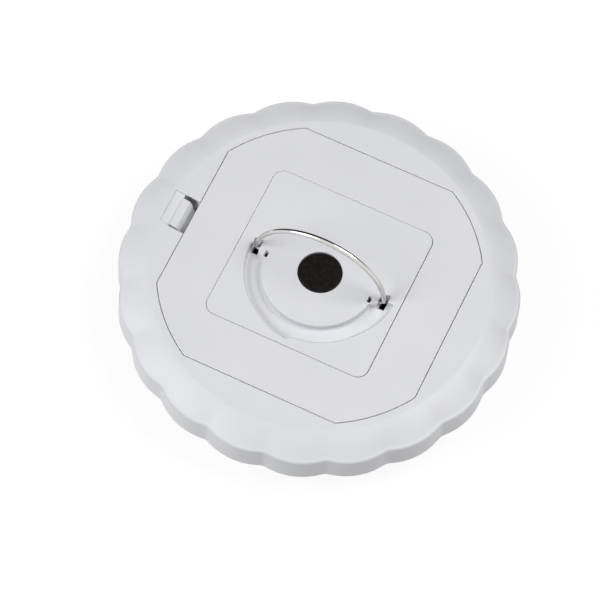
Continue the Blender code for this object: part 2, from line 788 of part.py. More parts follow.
def contact_bridge(index, finish):
    """A strip folded round a corner of the hub, from one cell's nub to the next cell's spring."""
    outer_end = CELL_PATH + STRIP_WIDTH / 2
    knee = STRIP_PLACE + STRIP_CORNER
    back = STRIP_PLACE + STRIP_THICKNESS
    knee_back = knee + STRIP_THICKNESS * math.tan(math.pi / 8)
    outline = [
        (STRIP_PLACE, -outer_end),
        (back, -outer_end),
        (back, -knee_back),
        (knee_back, -back),
        (outer_end, -back),
        (outer_end, -STRIP_PLACE),
        (knee, -STRIP_PLACE),
        (STRIP_PLACE, -knee),
    ]
    low = CELL_HEIGHT - STRIP_HEIGHT / 2
    strip = prism(f"contact_bridge_{index + 1}", outline, low, low + STRIP_HEIGHT, finish)
    return bake_place(strip, quarter_turn(index))


def terminal(name, finish, along_x):
    """An end contact with a prong through the floor to the board."""
    low = CELL_HEIGHT - STRIP_HEIGHT / 2
    wide = STRIP_WIDTH / 2
    narrow = PRONG_WIDTH / 2
    near = STRIP_PLACE
    far = STRIP_PLACE + STRIP_THICKNESS
    prong_low = BOARD_TOP + GAP
    prong_high = low + STRIP_THICKNESS

    def upright(label, half, bottom, top, color=None):
        if along_x:
            start, end = (CELL_PATH - half, -far, bottom), (CELL_PATH + half, -near, top)
        else:
            start, end = (near, -CELL_PATH - half, bottom), (far, -CELL_PATH + half, top)
        return block(label, start, end, color)

    plate = upright(name, wide, low, low + STRIP_HEIGHT, finish)
    prong = upright(f"{name}_prong", narrow, prong_low, prong_high)
    for piece in (plate, prong):
        bake_place(piece, quarter_turn(CELL_COUNT - 1))
    join(plate, prong)
    return plate


def front_bezel(finish):
    """The drum under the rim: front ring, outer wall, closing plate and screw posts."""
    plate_low = RIM_HEIGHT + GAP
    plate_high = plate_low + PLATE_THICKNESS
    profile = [
        (FRONT_OPENING, 0),
        (DRUM_FRONT_RADIUS - FRONT_EDGE, 0),
        (DRUM_FRONT_RADIUS, FRONT_EDGE),
        (DRUM_RADIUS, plate_low),
        (RIM_INNER_RADIUS - GAP, plate_low),
        (RIM_INNER_RADIUS - GAP, plate_high),
        (DRUM_RADIUS - DRUM_WALL, plate_high),
        (DRUM_FRONT_RADIUS - DRUM_WALL, FRONT_THICKNESS),
        (FRONT_OPENING, FRONT_THICKNESS),
    ]
    bezel = turned("front_bezel", profile, ROUND_SIDES, finish)
    top = FLOOR_UNDER - GAP
    for index in range(CELL_COUNT):
        post = cylinder(f"post_{index}", POST_RADIUS, FRONT_THICKNESS / 2, top, SMALL_SIDES)
        bore = cylinder(
            f"post_cut_{index}",
            SCREW_SHANK_RADIUS + GAP,
            FRONT_THICKNESS,
            top + OVERRUN,
            SMALL_SIDES,
        )
        spot = quarter_turn(index) @ Matrix.Translation((POST_PLACE, -POST_PLACE, 0))
        bake_place(post, spot)
        bake_place(bore, spot)
        join(bezel, post)
        cut(bezel, bore)
    return bezel


def lens(finish):
    """A clear ring whose raised face fills the front opening."""
    profile = [
        (BUTTON_HOLE, LENS_RECESS),
        (FRONT_OPENING - GAP, LENS_RECESS),
        (FRONT_OPENING - GAP, FRONT_THICKNESS + GAP),
        (LENS_RADIUS, FRONT_THICKNESS + GAP),
        (LENS_RADIUS, LENS_BACK),
        (BUTTON_HOLE, LENS_BACK),
    ]
    return turned("lens", profile, ROUND_SIDES, finish)


def led_places():
    places = []
    for count, reach in ((OUTER_LED_COUNT, OUTER_LED_RADIUS), (INNER_LED_COUNT, INNER_LED_RADIUS)):
        for step in range(count):
            angle = math.tau * (step + LED_TURN_SHARE) / count
            places.append((reach * math.cos(angle), reach * math.sin(angle)))
    return places


def reflector(finish):
    """A tray round the button with a sloping edge and a hole for each LED."""
    plate = REFLECTOR_TOP - REFLECTOR_PLATE
    hole = BUTTON_RADIUS + BUTTON_FLANGE + 2 * GAP
    profile = [
        (hole, REFLECTOR_FRONT),
        (hole + REFLECTOR_EDGE, REFLECTOR_FRONT),
        (hole + REFLECTOR_EDGE + REFLECTOR_SLOPE / 2, plate),
        (LENS_RADIUS - REFLECTOR_EDGE - REFLECTOR_SLOPE, plate),
        (LENS_RADIUS - REFLECTOR_EDGE, REFLECTOR_FRONT),
        (LENS_RADIUS, REFLECTOR_FRONT),
        (LENS_RADIUS, REFLECTOR_TOP),
        (hole, REFLECTOR_TOP),
    ]
    tray = turned("reflector", profile, ROUND_SIDES, finish)
    for index, (x, y) in enumerate(led_places()):
        clear = cylinder(
            f"led_cut_{index}",
            LED_BASE_RADIUS + GAP,
            plate - OVERRUN,
            REFLECTOR_TOP + OVERRUN,
            LED_SIDES,
        )
        bake_place(clear, Matrix.Translation((x, y, 0)))
        cut(tray, clear)
    return tray


def led_board(finish):
    return cylinder("led_board", LENS_RADIUS, BOARD_UNDER, BOARD_TOP, ROUND_SIDES, finish)


def led(index, spot, finish):
    """A surface LED that faces down, with a domed lens."""
    top = BOARD_UNDER - GAP
    shoulder = top - LED_BASE_HEIGHT
    profile = [(0, top), (LED_BASE_RADIUS, top), (LED_BASE_RADIUS, shoulder)]
    for step in range(LED_DOME_STEPS):
        angle = step / LED_DOME_STEPS * math.pi / 2
        profile.append((LED_DOME_RADIUS * math.cos(angle), shoulder - LED_DOME_HEIGHT * math.sin(angle)))
    profile.append((0, shoulder - LED_DOME_HEIGHT))
    chip = turned(f"led_{index + 1:02d}", profile, LED_SIDES, finish, closed=False)
    return bake_place(chip, Matrix.Translation((spot[0], spot[1], 0)))


def push_button(finish, parent):
    """A round cap with a flange behind the lens and a boss over the switch."""
    inner = BUTTON_RADIUS - BUTTON_WALL
    cap_inside = BUTTON_RECESS + BUTTON_CAP
    flange_low = LENS_BACK + GAP
    flange_high = flange_low + BUTTON_FLANGE_THICKNESS
    profile = [
        (0, BUTTON_RECESS),
        (BUTTON_RADIUS, BUTTON_RECESS),
        (BUTTON_RADIUS, flange_low),
        (BUTTON_RADIUS + BUTTON_FLANGE, flange_low),
        (BUTTON_RADIUS + BUTTON_FLANGE, flange_high),
        (inner, flange_high),
        (inner, cap_inside),
        (PLUNGER_RADIUS, cap_inside),
        (PLUNGER_RADIUS, cap_inside + BUTTON_BOSS_HEIGHT),
        (0, cap_inside + BUTTON_BOSS_HEIGHT),
    ]
    button = turned("push_button", profile, CELL_SIDES, finish, closed=False)
    attach(button, parent)
    return button


def switch_body(finish):
    """The push switch on the board, bored for its plunger."""
    half = SWITCH_SIZE / 2
    low = BUTTON_RECESS + BUTTON_CAP + BUTTON_TRAVEL + 2 * GAP
    body = block("switch_body", (-half, -half, low), (half, half, REFLECTOR_TOP), finish)
    bore = cylinder(
        "plunger_cut", PLUNGER_RADIUS + GAP, low - OVERRUN, REFLECTOR_TOP + OVERRUN, SMALL_SIDES
    )
    cut(body, bore)
    return body


def switch_plunger(finish, parent):
    low = BUTTON_RECESS + BUTTON_CAP + BUTTON_BOSS_HEIGHT + GAP
    pin = cylinder("switch_plunger", PLUNGER_RADIUS, low, low + PLUNGER_LENGTH, TINY_SIDES, finish)
    attach(pin, parent)
    return pin


def housing_screw(index, finish):
    """A pan-head screw from the battery well into a post of the front ring."""
    under_head = FLOOR_TOP + GAP
    top = under_head + SCREW_HEAD_HEIGHT
    profile = [
        (0, under_head - SCREW_LENGTH),
        (SCREW_SHANK_RADIUS, under_head - SCREW_LENGTH),
        (SCREW_SHANK_RADIUS, under_head),
        (SCREW_HEAD_RADIUS, under_head),
        (SCREW_HEAD_RADIUS, top),
        (0, top),
    ]
    screw = turned(f"housing_screw_{index + 1}", profile, TINY_SIDES, finish, closed=False)
    slot = block(
        f"drive_cut_{index}",
        (-SCREW_HEAD_RADIUS - OVERRUN, -SCREW_SLOT_WIDTH / 2, top - SCREW_SLOT_DEPTH),
        (SCREW_HEAD_RADIUS + OVERRUN, SCREW_SLOT_WIDTH / 2, top + OVERRUN),
    )
    spot = quarter_turn(index) @ Matrix.Translation((POST_PLACE, -POST_PLACE, 0))
    bake_place(screw, spot)
    bake_place(slot, spot)
    cut(screw, slot)
    return screw


def build():
    for item in list(bpy.data.objects):
        bpy.data.objects.remove(item, do_unlink=True)
    white = material("white_plastic", (0.76, 0.77, 0.79), 0.45)
    clear = material("clear_plastic", (0.92, 0.94, 0.95), 0.08, transmission=1.0)
    silver = material("silvered_plastic", (0.85, 0.86, 0.88), 0.2, 0.8)
    steel = material("bright_wire", (0.72, 0.71, 0.69), 0.12, 1.0)
    nickel = material("nickel_strip", (0.66, 0.65, 0.62), 0.25, 1.0)
    zinc = material("zinc_screw", (0.6, 0.6, 0.62), 0.35, 1.0)
    dark = material("dark_magnet", (0.09, 0.085, 0.08), 0.3, 0.9)
    wrap = material("cell_wrap", (0.03, 0.16, 0.1), 0.4)
    mask = material("board_mask", (0.75, 0.76, 0.74), 0.45)
    amber = material("led_dome", (0.9, 0.8, 0.4), 0.2)
    black = material("switch_case", (0.02, 0.02, 0.022), 0.5)

    door_axis = axis_empty("door_hinge_axis", (HINGE_X, 0, BACK))
    latch_axis = axis_empty("latch_slide_axis", (-DOOR_HALF, 0, BACK - LATCH_DEPTH))
    bail_axis = axis_empty("bail_hinge_axis", (0, 0, PIVOT))
    button_axis = axis_empty("button_slide_axis", (0, 0, BUTTON_RECESS))

    rear_housing(white)
    battery_door(white, door_axis)
    door_latch(white, latch_axis)
    hanging_bail(steel, bail_axis)
    magnet(dark)
    for index in range(CELL_COUNT):
        battery_cell(index, wrap)
        contact_spring(index, nickel)
        housing_screw(index, zinc)
    for index in range(CELL_COUNT - 1):
        contact_bridge(index, nickel)
    terminal("terminal_positive", nickel, along_x=False)
    terminal("terminal_negative", nickel, along_x=True)
    front_bezel(white)
    lens(clear)
    reflector(silver)
    led_board(mask)
    for index, spot in enumerate(led_places()):
        led(index, spot, amber)
    push_button(white, button_axis)
    switch_body(black)
    switch_plunger(black, button_axis)
    print(f"least gap between a contact spring's turns: {spring_clearance() * 1000:.2f} mm")


build()
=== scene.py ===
import math

import bpy
from mathutils import Matrix, Vector


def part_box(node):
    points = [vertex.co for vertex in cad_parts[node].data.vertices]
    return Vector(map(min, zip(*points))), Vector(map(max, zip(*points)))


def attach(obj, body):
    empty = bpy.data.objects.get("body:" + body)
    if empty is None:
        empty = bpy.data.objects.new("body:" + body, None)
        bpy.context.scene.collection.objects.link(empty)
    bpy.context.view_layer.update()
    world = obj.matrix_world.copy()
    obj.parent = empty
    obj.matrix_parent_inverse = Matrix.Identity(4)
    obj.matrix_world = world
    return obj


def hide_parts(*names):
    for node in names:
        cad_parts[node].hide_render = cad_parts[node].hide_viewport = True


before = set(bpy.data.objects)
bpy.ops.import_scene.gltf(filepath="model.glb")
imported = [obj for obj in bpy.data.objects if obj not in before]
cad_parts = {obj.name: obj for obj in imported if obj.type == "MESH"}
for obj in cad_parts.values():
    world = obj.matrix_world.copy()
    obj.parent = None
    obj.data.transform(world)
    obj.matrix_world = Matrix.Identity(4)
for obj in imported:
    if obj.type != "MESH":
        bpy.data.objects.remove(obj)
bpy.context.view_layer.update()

print("frame loaded")

# Places that the frame gives, and the gaps that all pieces share
low = {name: Vector(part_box(name)[0]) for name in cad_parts}
high = {name: Vector(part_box(name)[1]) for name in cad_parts}
backTop = high["battery_door"].z
floorUnder = low["rear_housing"].z
pivotHeight = backTop - 0.002  # the middle of the wire's in-turned ends
gap = 0.0003  # between the housing and what sits in it
overrun = 0.002  # how far a cutter stands past the face that it opens
quarter = math.pi / 2


# Selection and operator helpers
def deselectAll():
    if bpy.context.object and bpy.context.object.mode != "OBJECT":
        bpy.ops.object.mode_set(mode="OBJECT")
    bpy.ops.object.select_all(action="DESELECT")


def pick(*items):
    deselectAll()
    for item in items:
        item.select_set(True)
    bpy.context.view_layer.objects.active = items[0]
    return items[0]


def choose(item, test):
    # edit mode with the corners selected whose place passes the test
    pick(item)
    bpy.ops.object.mode_set(mode="EDIT")
    bpy.ops.mesh.select_mode(type="VERT")
    bpy.ops.mesh.select_all(action="DESELECT")
    bpy.ops.object.mode_set(mode="OBJECT")
    for corner in item.data.vertices:
        corner.select = test(corner.co)
    bpy.ops.object.mode_set(mode="EDIT")


def tidyMesh(item):
    pick(item)
    bpy.ops.object.mode_set(mode="EDIT")
    bpy.ops.mesh.select_all(action="SELECT")
    bpy.ops.mesh.remove_doubles(threshold=1e-6)
    bpy.ops.mesh.normals_make_consistent(inside=False)
    bpy.ops.object.mode_set(mode="OBJECT")
    return item


def change(item, kind, **settings):
    # adds a modifier and applies it
    pick(item)
    step = item.modifiers.new("step", kind)
    for key, value in settings.items():
        setattr(step, key, value)
    bpy.ops.object.modifier_apply(modifier=step.name)
    return item


def combine(item, tools, operation):
    # tools that don't touch each other are joined and used in one Boolean
    tool = pick(*tools)
    if len(tools) > 1:
        bpy.ops.object.join()
    change(item, "BOOLEAN", operation=operation, solver="EXACT", object=tool)
    bpy.data.objects.remove(tool, do_unlink=True)
    return item


def carve(item, *tools):
    return combine(item, tools, "DIFFERENCE")


def fuse(item, *tools):
    return combine(item, tools, "UNION")


def grown(name, rings):
    # a filled circle whose cap is extruded from ring to ring
    count = len(rings[0])
    deselectAll()
    bpy.ops.mesh.primitive_circle_add(vertices=count, fill_type="NGON")
    item = bpy.context.object
    item.name = name
    for ring in rings:
        if ring is not rings[0]:
            bpy.ops.object.mode_set(mode="EDIT")
            bpy.ops.mesh.extrude_region_move()
            bpy.ops.object.mode_set(mode="OBJECT")
        for corner, spot in zip(item.data.vertices[-count:], ring):
            corner.co = spot
    return tidyMesh(item)


def prism(name, outline, bottom, top):
    return grown(name, [[(x, y, z) for x, y in outline] for z in (bottom, top)])


def sidePrism(name, outline, start, end):
    return grown(name, [[(x, y, z) for x, z in outline] for y in (start, end)])


def spun(name, profile, steps=180):
    # a loop of (radius, height) turned once round Z; one that starts on the axis closes there
    deselectAll()
    bpy.ops.mesh.primitive_circle_add(vertices=len(profile), fill_type="NOTHING")
    item = bpy.context.object
    item.name = name
    for corner, (radius, height) in zip(item.data.vertices, profile):
        corner.co = (radius, 0, height)
    if profile[0][0] == 0:
        # the edge along the axis goes before the spin
        choose(item, lambda spot: spot.x == 0)
        bpy.ops.mesh.delete(type="EDGE_FACE")
    bpy.ops.object.mode_set(mode="EDIT")
    bpy.ops.mesh.select_all(action="SELECT")
    bpy.ops.mesh.spin(steps=steps, angle=math.tau, center=(0, 0, 0), axis=(0, 0, 1))
    bpy.ops.object.mode_set(mode="OBJECT")
    return tidyMesh(item)


def bar(name, radius, bottom, top, steps=32, ease=0.0):
    # a round bar on the Z axis with eased ends
    profile = [(0, bottom), (radius - ease, bottom), (radius, bottom + ease), (radius, top - ease)]
    profile += [(radius - ease, top), (0, top)]
    if not ease:
        profile = [(0, bottom), (radius, bottom), (radius, top), (0, top)]
    return spun(name, profile, steps)


def block(name, start, end):
    deselectAll()
    bpy.ops.mesh.primitive_cube_add(size=1)
    item = bpy.context.object
    item.name = name
    size = [b - a for a, b in zip(start, end)]
    middle = [(a + b) / 2 for a, b in zip(start, end)]
    return moved(item, Matrix.Translation(middle) @ Matrix.Diagonal((*size, 1)))


def moved(item, matrix):
    item.data.transform(matrix)
    return item


def placed(item, x, y, z=0.0):
    return moved(item, Matrix.Translation((x, y, z)))


def turned(item, count):
    # count is in quarter turns
    return moved(item, Matrix.Rotation(count * quarter, 4, "Z"))


def copied(item, name):
    # a copy with a mesh of its own
    deselectAll()
    twin = item.copy()
    twin.data = item.data.copy()
    twin.name = name
    bpy.context.scene.collection.objects.link(twin)
    return twin


def roundEdges(item, width, segments=3, angle=30):
    turnLimit = math.radians(angle)
    return change(
        item, "BEVEL", width=width, segments=segments, limit_method="ANGLE", angle_limit=turnLimit
    )


def smooth(item, angle=32):
    pick(item)
    bpy.ops.object.shade_smooth_by_angle(angle=math.radians(angle))
    return change(item, "WEIGHTED_NORMAL", keep_sharp=True)


def dress(item, body, nodes, slot, *finishes):
    # the last step of a piece: its finish, its body and the CAD nodes that it stands for, which are
    # hidden
    if item.data.materials:
        item.data.materials.clear()
    for finish in finishes:
        item.data.materials.append(finish)
    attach(item, body)
    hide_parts(*nodes)


def dressFour(model, name, node, slot, *finishes):
    # a copy of the model for each side of the hub, and the model goes
    for number in range(1, 5):
        piece = turned(copied(model, f"{name}{number}"), number - 1)
        dress(piece, "root", [f"{node}_{number}"], slot, *finishes)
    bpy.data.objects.remove(model, do_unlink=True)


def arc(centre, radius, start, end, steps):
    # points of (across, height) round a centre, the angles in degrees
    points = []
    for step in range(steps + 1):
        angle = math.radians(start + (end - start) * step / steps)
        points.append((centre[0] + radius * math.cos(angle), centre[1] + radius * math.sin(angle)))
    return points


# Shader sums and nodes
class Signal:
    def __init__(self, nodes, socket):
        self.nodes = nodes
        self.socket = socket

    def reckon(self, operation, first, second):
        return self.nodes.add("ShaderNodeMath", {"operation": operation}, {0: first, 1: second})

    def __add__(self, other):
        return self.reckon("ADD", self, other)

    def __radd__(self, other):
        return self.reckon("ADD", other, self)

    def __sub__(self, other):
        return self.reckon("SUBTRACT", self, other)

    def __rsub__(self, other):
        return self.reckon("SUBTRACT", other, self)

    def __mul__(self, other):
        return self.reckon("MULTIPLY", self, other)

    def __rmul__(self, other):
        return self.reckon("MULTIPLY", other, self)

    def __pow__(self, other):
        return self.reckon("POWER", self, other)


class Nodes:
    # the node tree of a material or of the world
    def __init__(self, tree):
        self.tree = tree

    def add(self, kind, settings, sockets, output=0):
        made = self.tree.nodes.new(kind)
        for key, value in settings.items():
            setattr(made, key, value)
        for key, value in sockets.items():
            if isinstance(value, Signal):
                self.tree.links.new(value.socket, made.inputs[key])
            else:
                made.inputs[key].default_value = value
        return Signal(self, made.outputs[output])

    def several(self, signal, outputs):
        # more outputs of the node that the signal comes from
        return [Signal(self, signal.socket.node.outputs[key]) for key in outputs]

    def mixInto(self, target, factor, first, second):
        mixed = self.add("ShaderNodeMixShader", {}, {0: factor, 1: first, 2: second})
        self.tree.links.new(mixed.socket, self.tree.nodes[target].inputs["Surface"])


class Finish(Nodes):
    def __init__(self, name, **constants):
        self.material = bpy.data.materials.new(name)
        self.material.use_nodes = True
        super().__init__(self.material.node_tree)
        self.shader = self.tree.nodes["Principled BSDF"]
        for key, value in constants.items():
            self.shader.inputs[key.replace("_", " ")].default_value = value

    def feed(self, name, value):
        self.tree.links.new(value.socket, self.shader.inputs[name])

    def spot(self):
        return self.add("ShaderNodeTexCoord", {}, {}, "Object")

    def axes(self):
        return self.several(self.add("ShaderNodeSeparateXYZ", {}, {0: self.spot()}), range(3))

    def noise(self, scale, detail=2.0, roughness=0.5):
        sockets = {"Vector": self.spot(), "Scale": scale, "Detail": detail, "Roughness": roughness}
        return self.add("ShaderNodeTexNoise", {}, sockets)

    def tint(self, factor, first, second):
        # two colours mixed by a factor from 0 to 1
        pair = [value if isinstance(value, Signal) else (*value, 1) for value in (first, second)]
        sockets = {0: factor, 6: pair[0], 7: pair[1]}
        return self.add("ShaderNodeMix", {"data_type": "RGBA"}, sockets, 2)

    def spread(self, value, start, end, first=0.0, last=1.0):
        sockets = {"Value": value, "From Min": start, "From Max": end, "To Min": first, "To Max": last}
        return self.add("ShaderNodeMapRange", {"clamp": True}, sockets)

    def size(self, value):
        return self.add("ShaderNodeMath", {"operation": "ABSOLUTE"}, {0: value})

    def relief(self, height, strength, distance):
        sockets = {"Height": height, "Strength": strength, "Distance": distance}
        self.feed("Normal", self.add("ShaderNodeBump", {}, sockets))


def mouldedPlastic(name, color, deep, roughness):
    # satin moulding: faint clouding in the colour and a fine spark-eroded grain
    finish = Finish(name, IOR=1.46)
    cloud = finish.noise(38.0)
    grain = finish.noise(5200.0, 2.0, 0.6)
    tone = finish.spread(cloud, 0.3, 0.7)
    finish.feed("Base Color", finish.tint(tone * 0.7 + grain * 0.3, color, deep))
    finish.feed("Roughness", roughness + (grain - 0.5) * 0.16 + (cloud - 0.5) * 0.08)
    finish.relief(grain * 0.6 + finish.noise(1700.0) * 0.4, 0.12, 0.00005)
    return finish.material


def platedMetal(name, color, roughness, marks=900.0, uneven=0.08):
    # plated or drawn metal: faint draw marks and a little clouding
    finish = Finish(name, Metallic=1.0)
    fine = finish.noise(marks)
    deep = tuple(0.88 * share for share in color)
    finish.feed("Base Color", finish.tint(finish.noise(160.0), color, deep))
    finish.feed("Roughness", roughness + fine * uneven)
    finish.relief(fine, 0.05, 0.00003)
    return finish.material


def magnetCoat():
    # dark glossy coat with specks of dust
    finish = Finish("magnet coat", Metallic=0.85)
    fine = finish.noise(700.0, 3.0)
    dust = finish.spread(finish.noise(2600.0, 1.0), 0.68, 0.75)
    base = finish.tint(fine, (0.016, 0.014, 0.013), (0.03, 0.027, 0.025))
    finish.feed("Base Color", finish.tint(dust * 0.3, base, (0.16, 0.155, 0.15)))
    finish.feed("Roughness", 0.2 + fine * 0.18)
    finish.relief(fine, 0.08, 0.00004)
    return finish.material


def clearPlastic():
    # clear acrylic with a faint cast and fine wiping marks
    finish = Finish("clear acrylic", IOR=1.49, Transmission_Weight=1.0)
    finish.feed("Base Color", finish.tint(finish.noise(60.0), (0.97, 0.98, 0.985), (0.93, 0.95, 0.96)))
    finish.feed("Roughness", 0.03 + finish.noise(900.0) * 0.05)
    return finish.material


def boardMask():
    # green solder mask with tinned pads in two rings under the LEDs
    finish = Finish("solder mask", IOR=1.5)
    x, y = finish.axes()[:2]
    reach = (x * x + y * y) ** 0.5
    pads = 0.0
    start, end = ledRings["pad"] + 0.0001, ledRings["pad"] - 0.0001
    for middle in ledRings["radii"]:
        pads = pads + finish.spread(finish.size(reach - middle), start, end)
    mask = finish.tint(finish.noise(420.0), (0.022, 0.11, 0.05), (0.03, 0.15, 0.07))
    finish.feed("Base Color", finish.tint(pads, mask, (0.62, 0.63, 0.64)))
    finish.feed("Metallic", pads * 0.9)
    finish.feed("Roughness", 0.34 + finish.noise(900.0) * 0.12)
    return finish.material


def ledResin():
    # a milky base that turns to warm resin towards the tip of the dome
    finish = Finish("led resin", IOR=1.52)
    height = finish.axes()[2]
    share = finish.spread(height, 0.0066, 0.0055)
    finish.feed("Base Color", finish.tint(share, (0.84, 0.84, 0.82), (0.9, 0.78, 0.3)))
    finish.feed("Roughness", 0.1 + finish.noise(1400.0) * 0.12)
    return finish.material


# The LEDs stand in two rings, each on a tinned pad; pad is half its width
ledRings = {"radii": (0.036, 0.020), "counts": (12, 6), "pad": 0.003}

whitePlastic = mouldedPlastic("housing plastic", (0.735, 0.738, 0.76), (0.70, 0.705, 0.73), 0.45)
doorPlastic = mouldedPlastic("door plastic", (0.735, 0.736, 0.752), (0.703, 0.706, 0.724), 0.45)
brightWire = platedMetal("bright wire", (0.7, 0.685, 0.66), 0.03, 900.0, 0.04)
springMetal = platedMetal("nickel spring", (0.66, 0.65, 0.63), 0.22)
screwMetal = platedMetal("zinc screw", (0.6, 0.6, 0.61), 0.28)
reflectorCoat = platedMetal("bright reflector", (0.86, 0.865, 0.87), 0.12)
cellMetal = platedMetal("cell end", (0.7, 0.69, 0.67), 0.25)
cellWrap = mouldedPlastic("cell wrap", (0.035, 0.036, 0.04), (0.05, 0.05, 0.055), 0.25)
cellBand = mouldedPlastic("cell band", (0.62, 0.36, 0.08), (0.52, 0.29, 0.06), 0.25)
switchPlastic = mouldedPlastic("switch plastic", (0.03, 0.03, 0.032), (0.045, 0.045, 0.048), 0.4)
plungerPlastic = mouldedPlastic("plunger plastic", (0.5, 0.05, 0.04), (0.42, 0.04, 0.035), 0.35)
buttonRubber = mouldedPlastic("button plastic", (0.62, 0.625, 0.64), (0.56, 0.565, 0.58), 0.5)
clearAcrylic = clearPlastic()
greenMask = boardMask()
warmResin = ledResin()
darkCoat = magnetCoat()
print("helpers and finishes ready")

# Outlines that several pieces share
lobes = {
    "count": 20,
    "radius": 0.0228,
    "stepsEach": 24,
    "valleySoft": 0.010,
    "tip": high["rear_housing"].x,
    "flat": 0.0585,
}
frameSize = {"half": 0.0484, "circle": 0.056, "arcSteps": 24}
hubSize = {"half": 0.0302, "corner": 0.004, "cornerSteps": 12}
hinge = {"place": 0.025, "tongueHalf": 0.004, "slotHalf": 0.0043}
screwPlace = 0.0502 / math.sqrt(2)


def lobeReach(angle):
    pitch = math.tau / lobes["count"]
    offset = abs((angle + pitch / 2) % pitch - pitch / 2)
    # the valleys between the lobes are rounded
    offset = pitch / 2 - math.hypot(pitch / 2 - offset, lobes["valleySoft"])
    centre = lobes["tip"] - lobes["radius"]
    across = centre * math.sin(offset)
    return centre * math.cos(offset) + math.sqrt(lobes["radius"] ** 2 - across**2)


def lobeRing(inset, height, roundness=0.0):
    # roundness 0 follows the lobes and 1 is the circle of the flat back
    count = lobes["count"] * lobes["stepsEach"]
    ring = []
    for step in range(count):
        angle = math.tau * step / count
        reach = (lobeReach(angle) - inset) * (1 - roundness) + lobes["flat"] * roundness
        ring.append((reach * math.cos(angle), reach * math.sin(angle), height))
    return ring


def doorRing(grow, height):
    # a square whose corners are cut by a circle
    half, reach = frameSize["half"] + grow, frameSize["circle"] + grow
    first = math.acos(half / reach)
    sweep = quarter - 2 * first
    ring = []
    for turn in range(4):
        for step in range(frameSize["arcSteps"] + 1):
            angle = turn * quarter + first + sweep * step / frameSize["arcSteps"]
            ring.append((reach * math.cos(angle), reach * math.sin(angle), height))
    return ring


def squareRing(grow, height, shift=0.0):
    # the hub's rounded square; shift moves its +X side out
    radius = hubSize["corner"] + grow
    reach = (hubSize["half"] - hubSize["corner"]) * math.sqrt(2)
    ring = []
    for turn in range(4):
        middle = turn * quarter + quarter / 2
        for step in range(hubSize["cornerSteps"] + 1):
            angle = turn * quarter + quarter * step / hubSize["cornerSteps"]
            x = reach * math.cos(middle) + radius * math.cos(angle)
            y = reach * math.sin(middle) + radius * math.sin(angle)
            ring.append((x + (shift if x > 0 else 0), y, height))
    return ring


def boxRing(start, end, corner, steps=6):
    # a rounded rectangle of (x, y) between two corners
    def ring(grow, height):
        radius = corner + grow
        points = []
        for turn, (x, y) in enumerate(((end[0], end[1]), (start[0], end[1]), start, (end[0], start[1]))):
            x += -corner if turn in (0, 3) else corner
            y += -corner if turn in (0, 1) else corner
            for step in range(steps + 1):
                angle = turn * quarter + quarter * step / steps
                points.append((x + radius * math.cos(angle), y + radius * math.sin(angle), height))
        return points

    return ring


def flared(ringAt, bottom, top, radius, steps=4):
    # a cutter whose mouth opens in a quarter round, so that the edge it leaves is rounded
    rings = [ringAt(0, bottom), ringAt(0, top - radius)]
    for step in range(1, steps + 1):
        angle = quarter * step / steps
        rings.append(ringAt(radius * (1 - math.cos(angle)), top - radius + radius * math.sin(angle)))
    return rings + [ringAt(radius, top + overrun)]


def crowned(ringAt, bottom, top, radius, steps=4, foot=0.0001):
    # a solid with a rounded top edge and a lightly eased lower one
    rings = [ringAt(-foot, bottom), ringAt(0, bottom + foot), ringAt(0, top - radius)]
    for step in range(1, steps + 1):
        angle = quarter * step / steps
        rings.append(ringAt(-radius * (1 - math.cos(angle)), top - radius + radius * math.sin(angle)))
    return rings


def ramp(value, start, end):
    # a soft step from 0 to 1
    share = min(max((value - start) / (end - start), 0), 1)
    return share * share * (3 - 2 * share)


# Rear housing: the shell with its battery well and hub
housing = {
    "edgeRound": 0.0012,
    "footRound": 0.0004,
    "wallDraft": 0.0002,
    "rimDepth": 0.0157,
    "crownRings": 12,
    "crownRise": 0.004,
    "crownStraight": 0.55,
    "shell": 0.002,
    "innerRadius": 0.0655,
    "innerRings": 6,
    "ledge": 0.0016,
    "ledgeDepth": 0.0023,
    "wellWall": 0.001,
    "floor": 0.0015,
    "wellRound": 0.0003,
    "hubWall": 0.002,
    "hubTop": 0.006,
    "hubRound": 0.00015,
}
wellHalf = frameSize["half"] + gap
floorTop = floorUnder + housing["floor"]
ledgeTop = backTop - housing["ledgeDepth"]
rimTop = backTop - housing["crownRise"]
rimBottom = backTop - housing["rimDepth"]


def crownHeight(share):
    # mostly a straight slope, so that the flat back ends in a visible edge
    mixed = housing["crownStraight"] * share + (1 - housing["crownStraight"]) * math.sin(share * quarter)
    return rimTop + housing["crownRise"] * mixed


def housingShell():
    foot, edge, draft = housing["footRound"], housing["edgeRound"], housing["wallDraft"]
    rings = [lobeRing(foot, rimBottom), lobeRing(foot * 0.3, rimBottom + foot * 0.3)]
    rings.append(lobeRing(0, rimBottom + foot))
    for inset, height in arc((draft + edge, rimTop - edge), edge, 180, 90, 8):
        rings.append(lobeRing(inset, height))
    for step in range(1, housing["crownRings"] + 1):
        share = step / housing["crownRings"]
        rings.append(lobeRing(draft + edge, crownHeight(share), share))
    return grown("rearHousing", rings)


def housingHollow():
    inner = housing["innerRadius"]
    profile = [(0, rimBottom - overrun), (inner, rimBottom - overrun)]
    for step in range(housing["innerRings"] + 1):
        share = step / housing["innerRings"]
        radius = inner * (1 - share) + lobes["flat"] * share
        profile.append((radius, crownHeight(share) - housing["shell"]))
    profile.append((0, backTop - housing["shell"]))
    return spun("hollow", profile, 120)


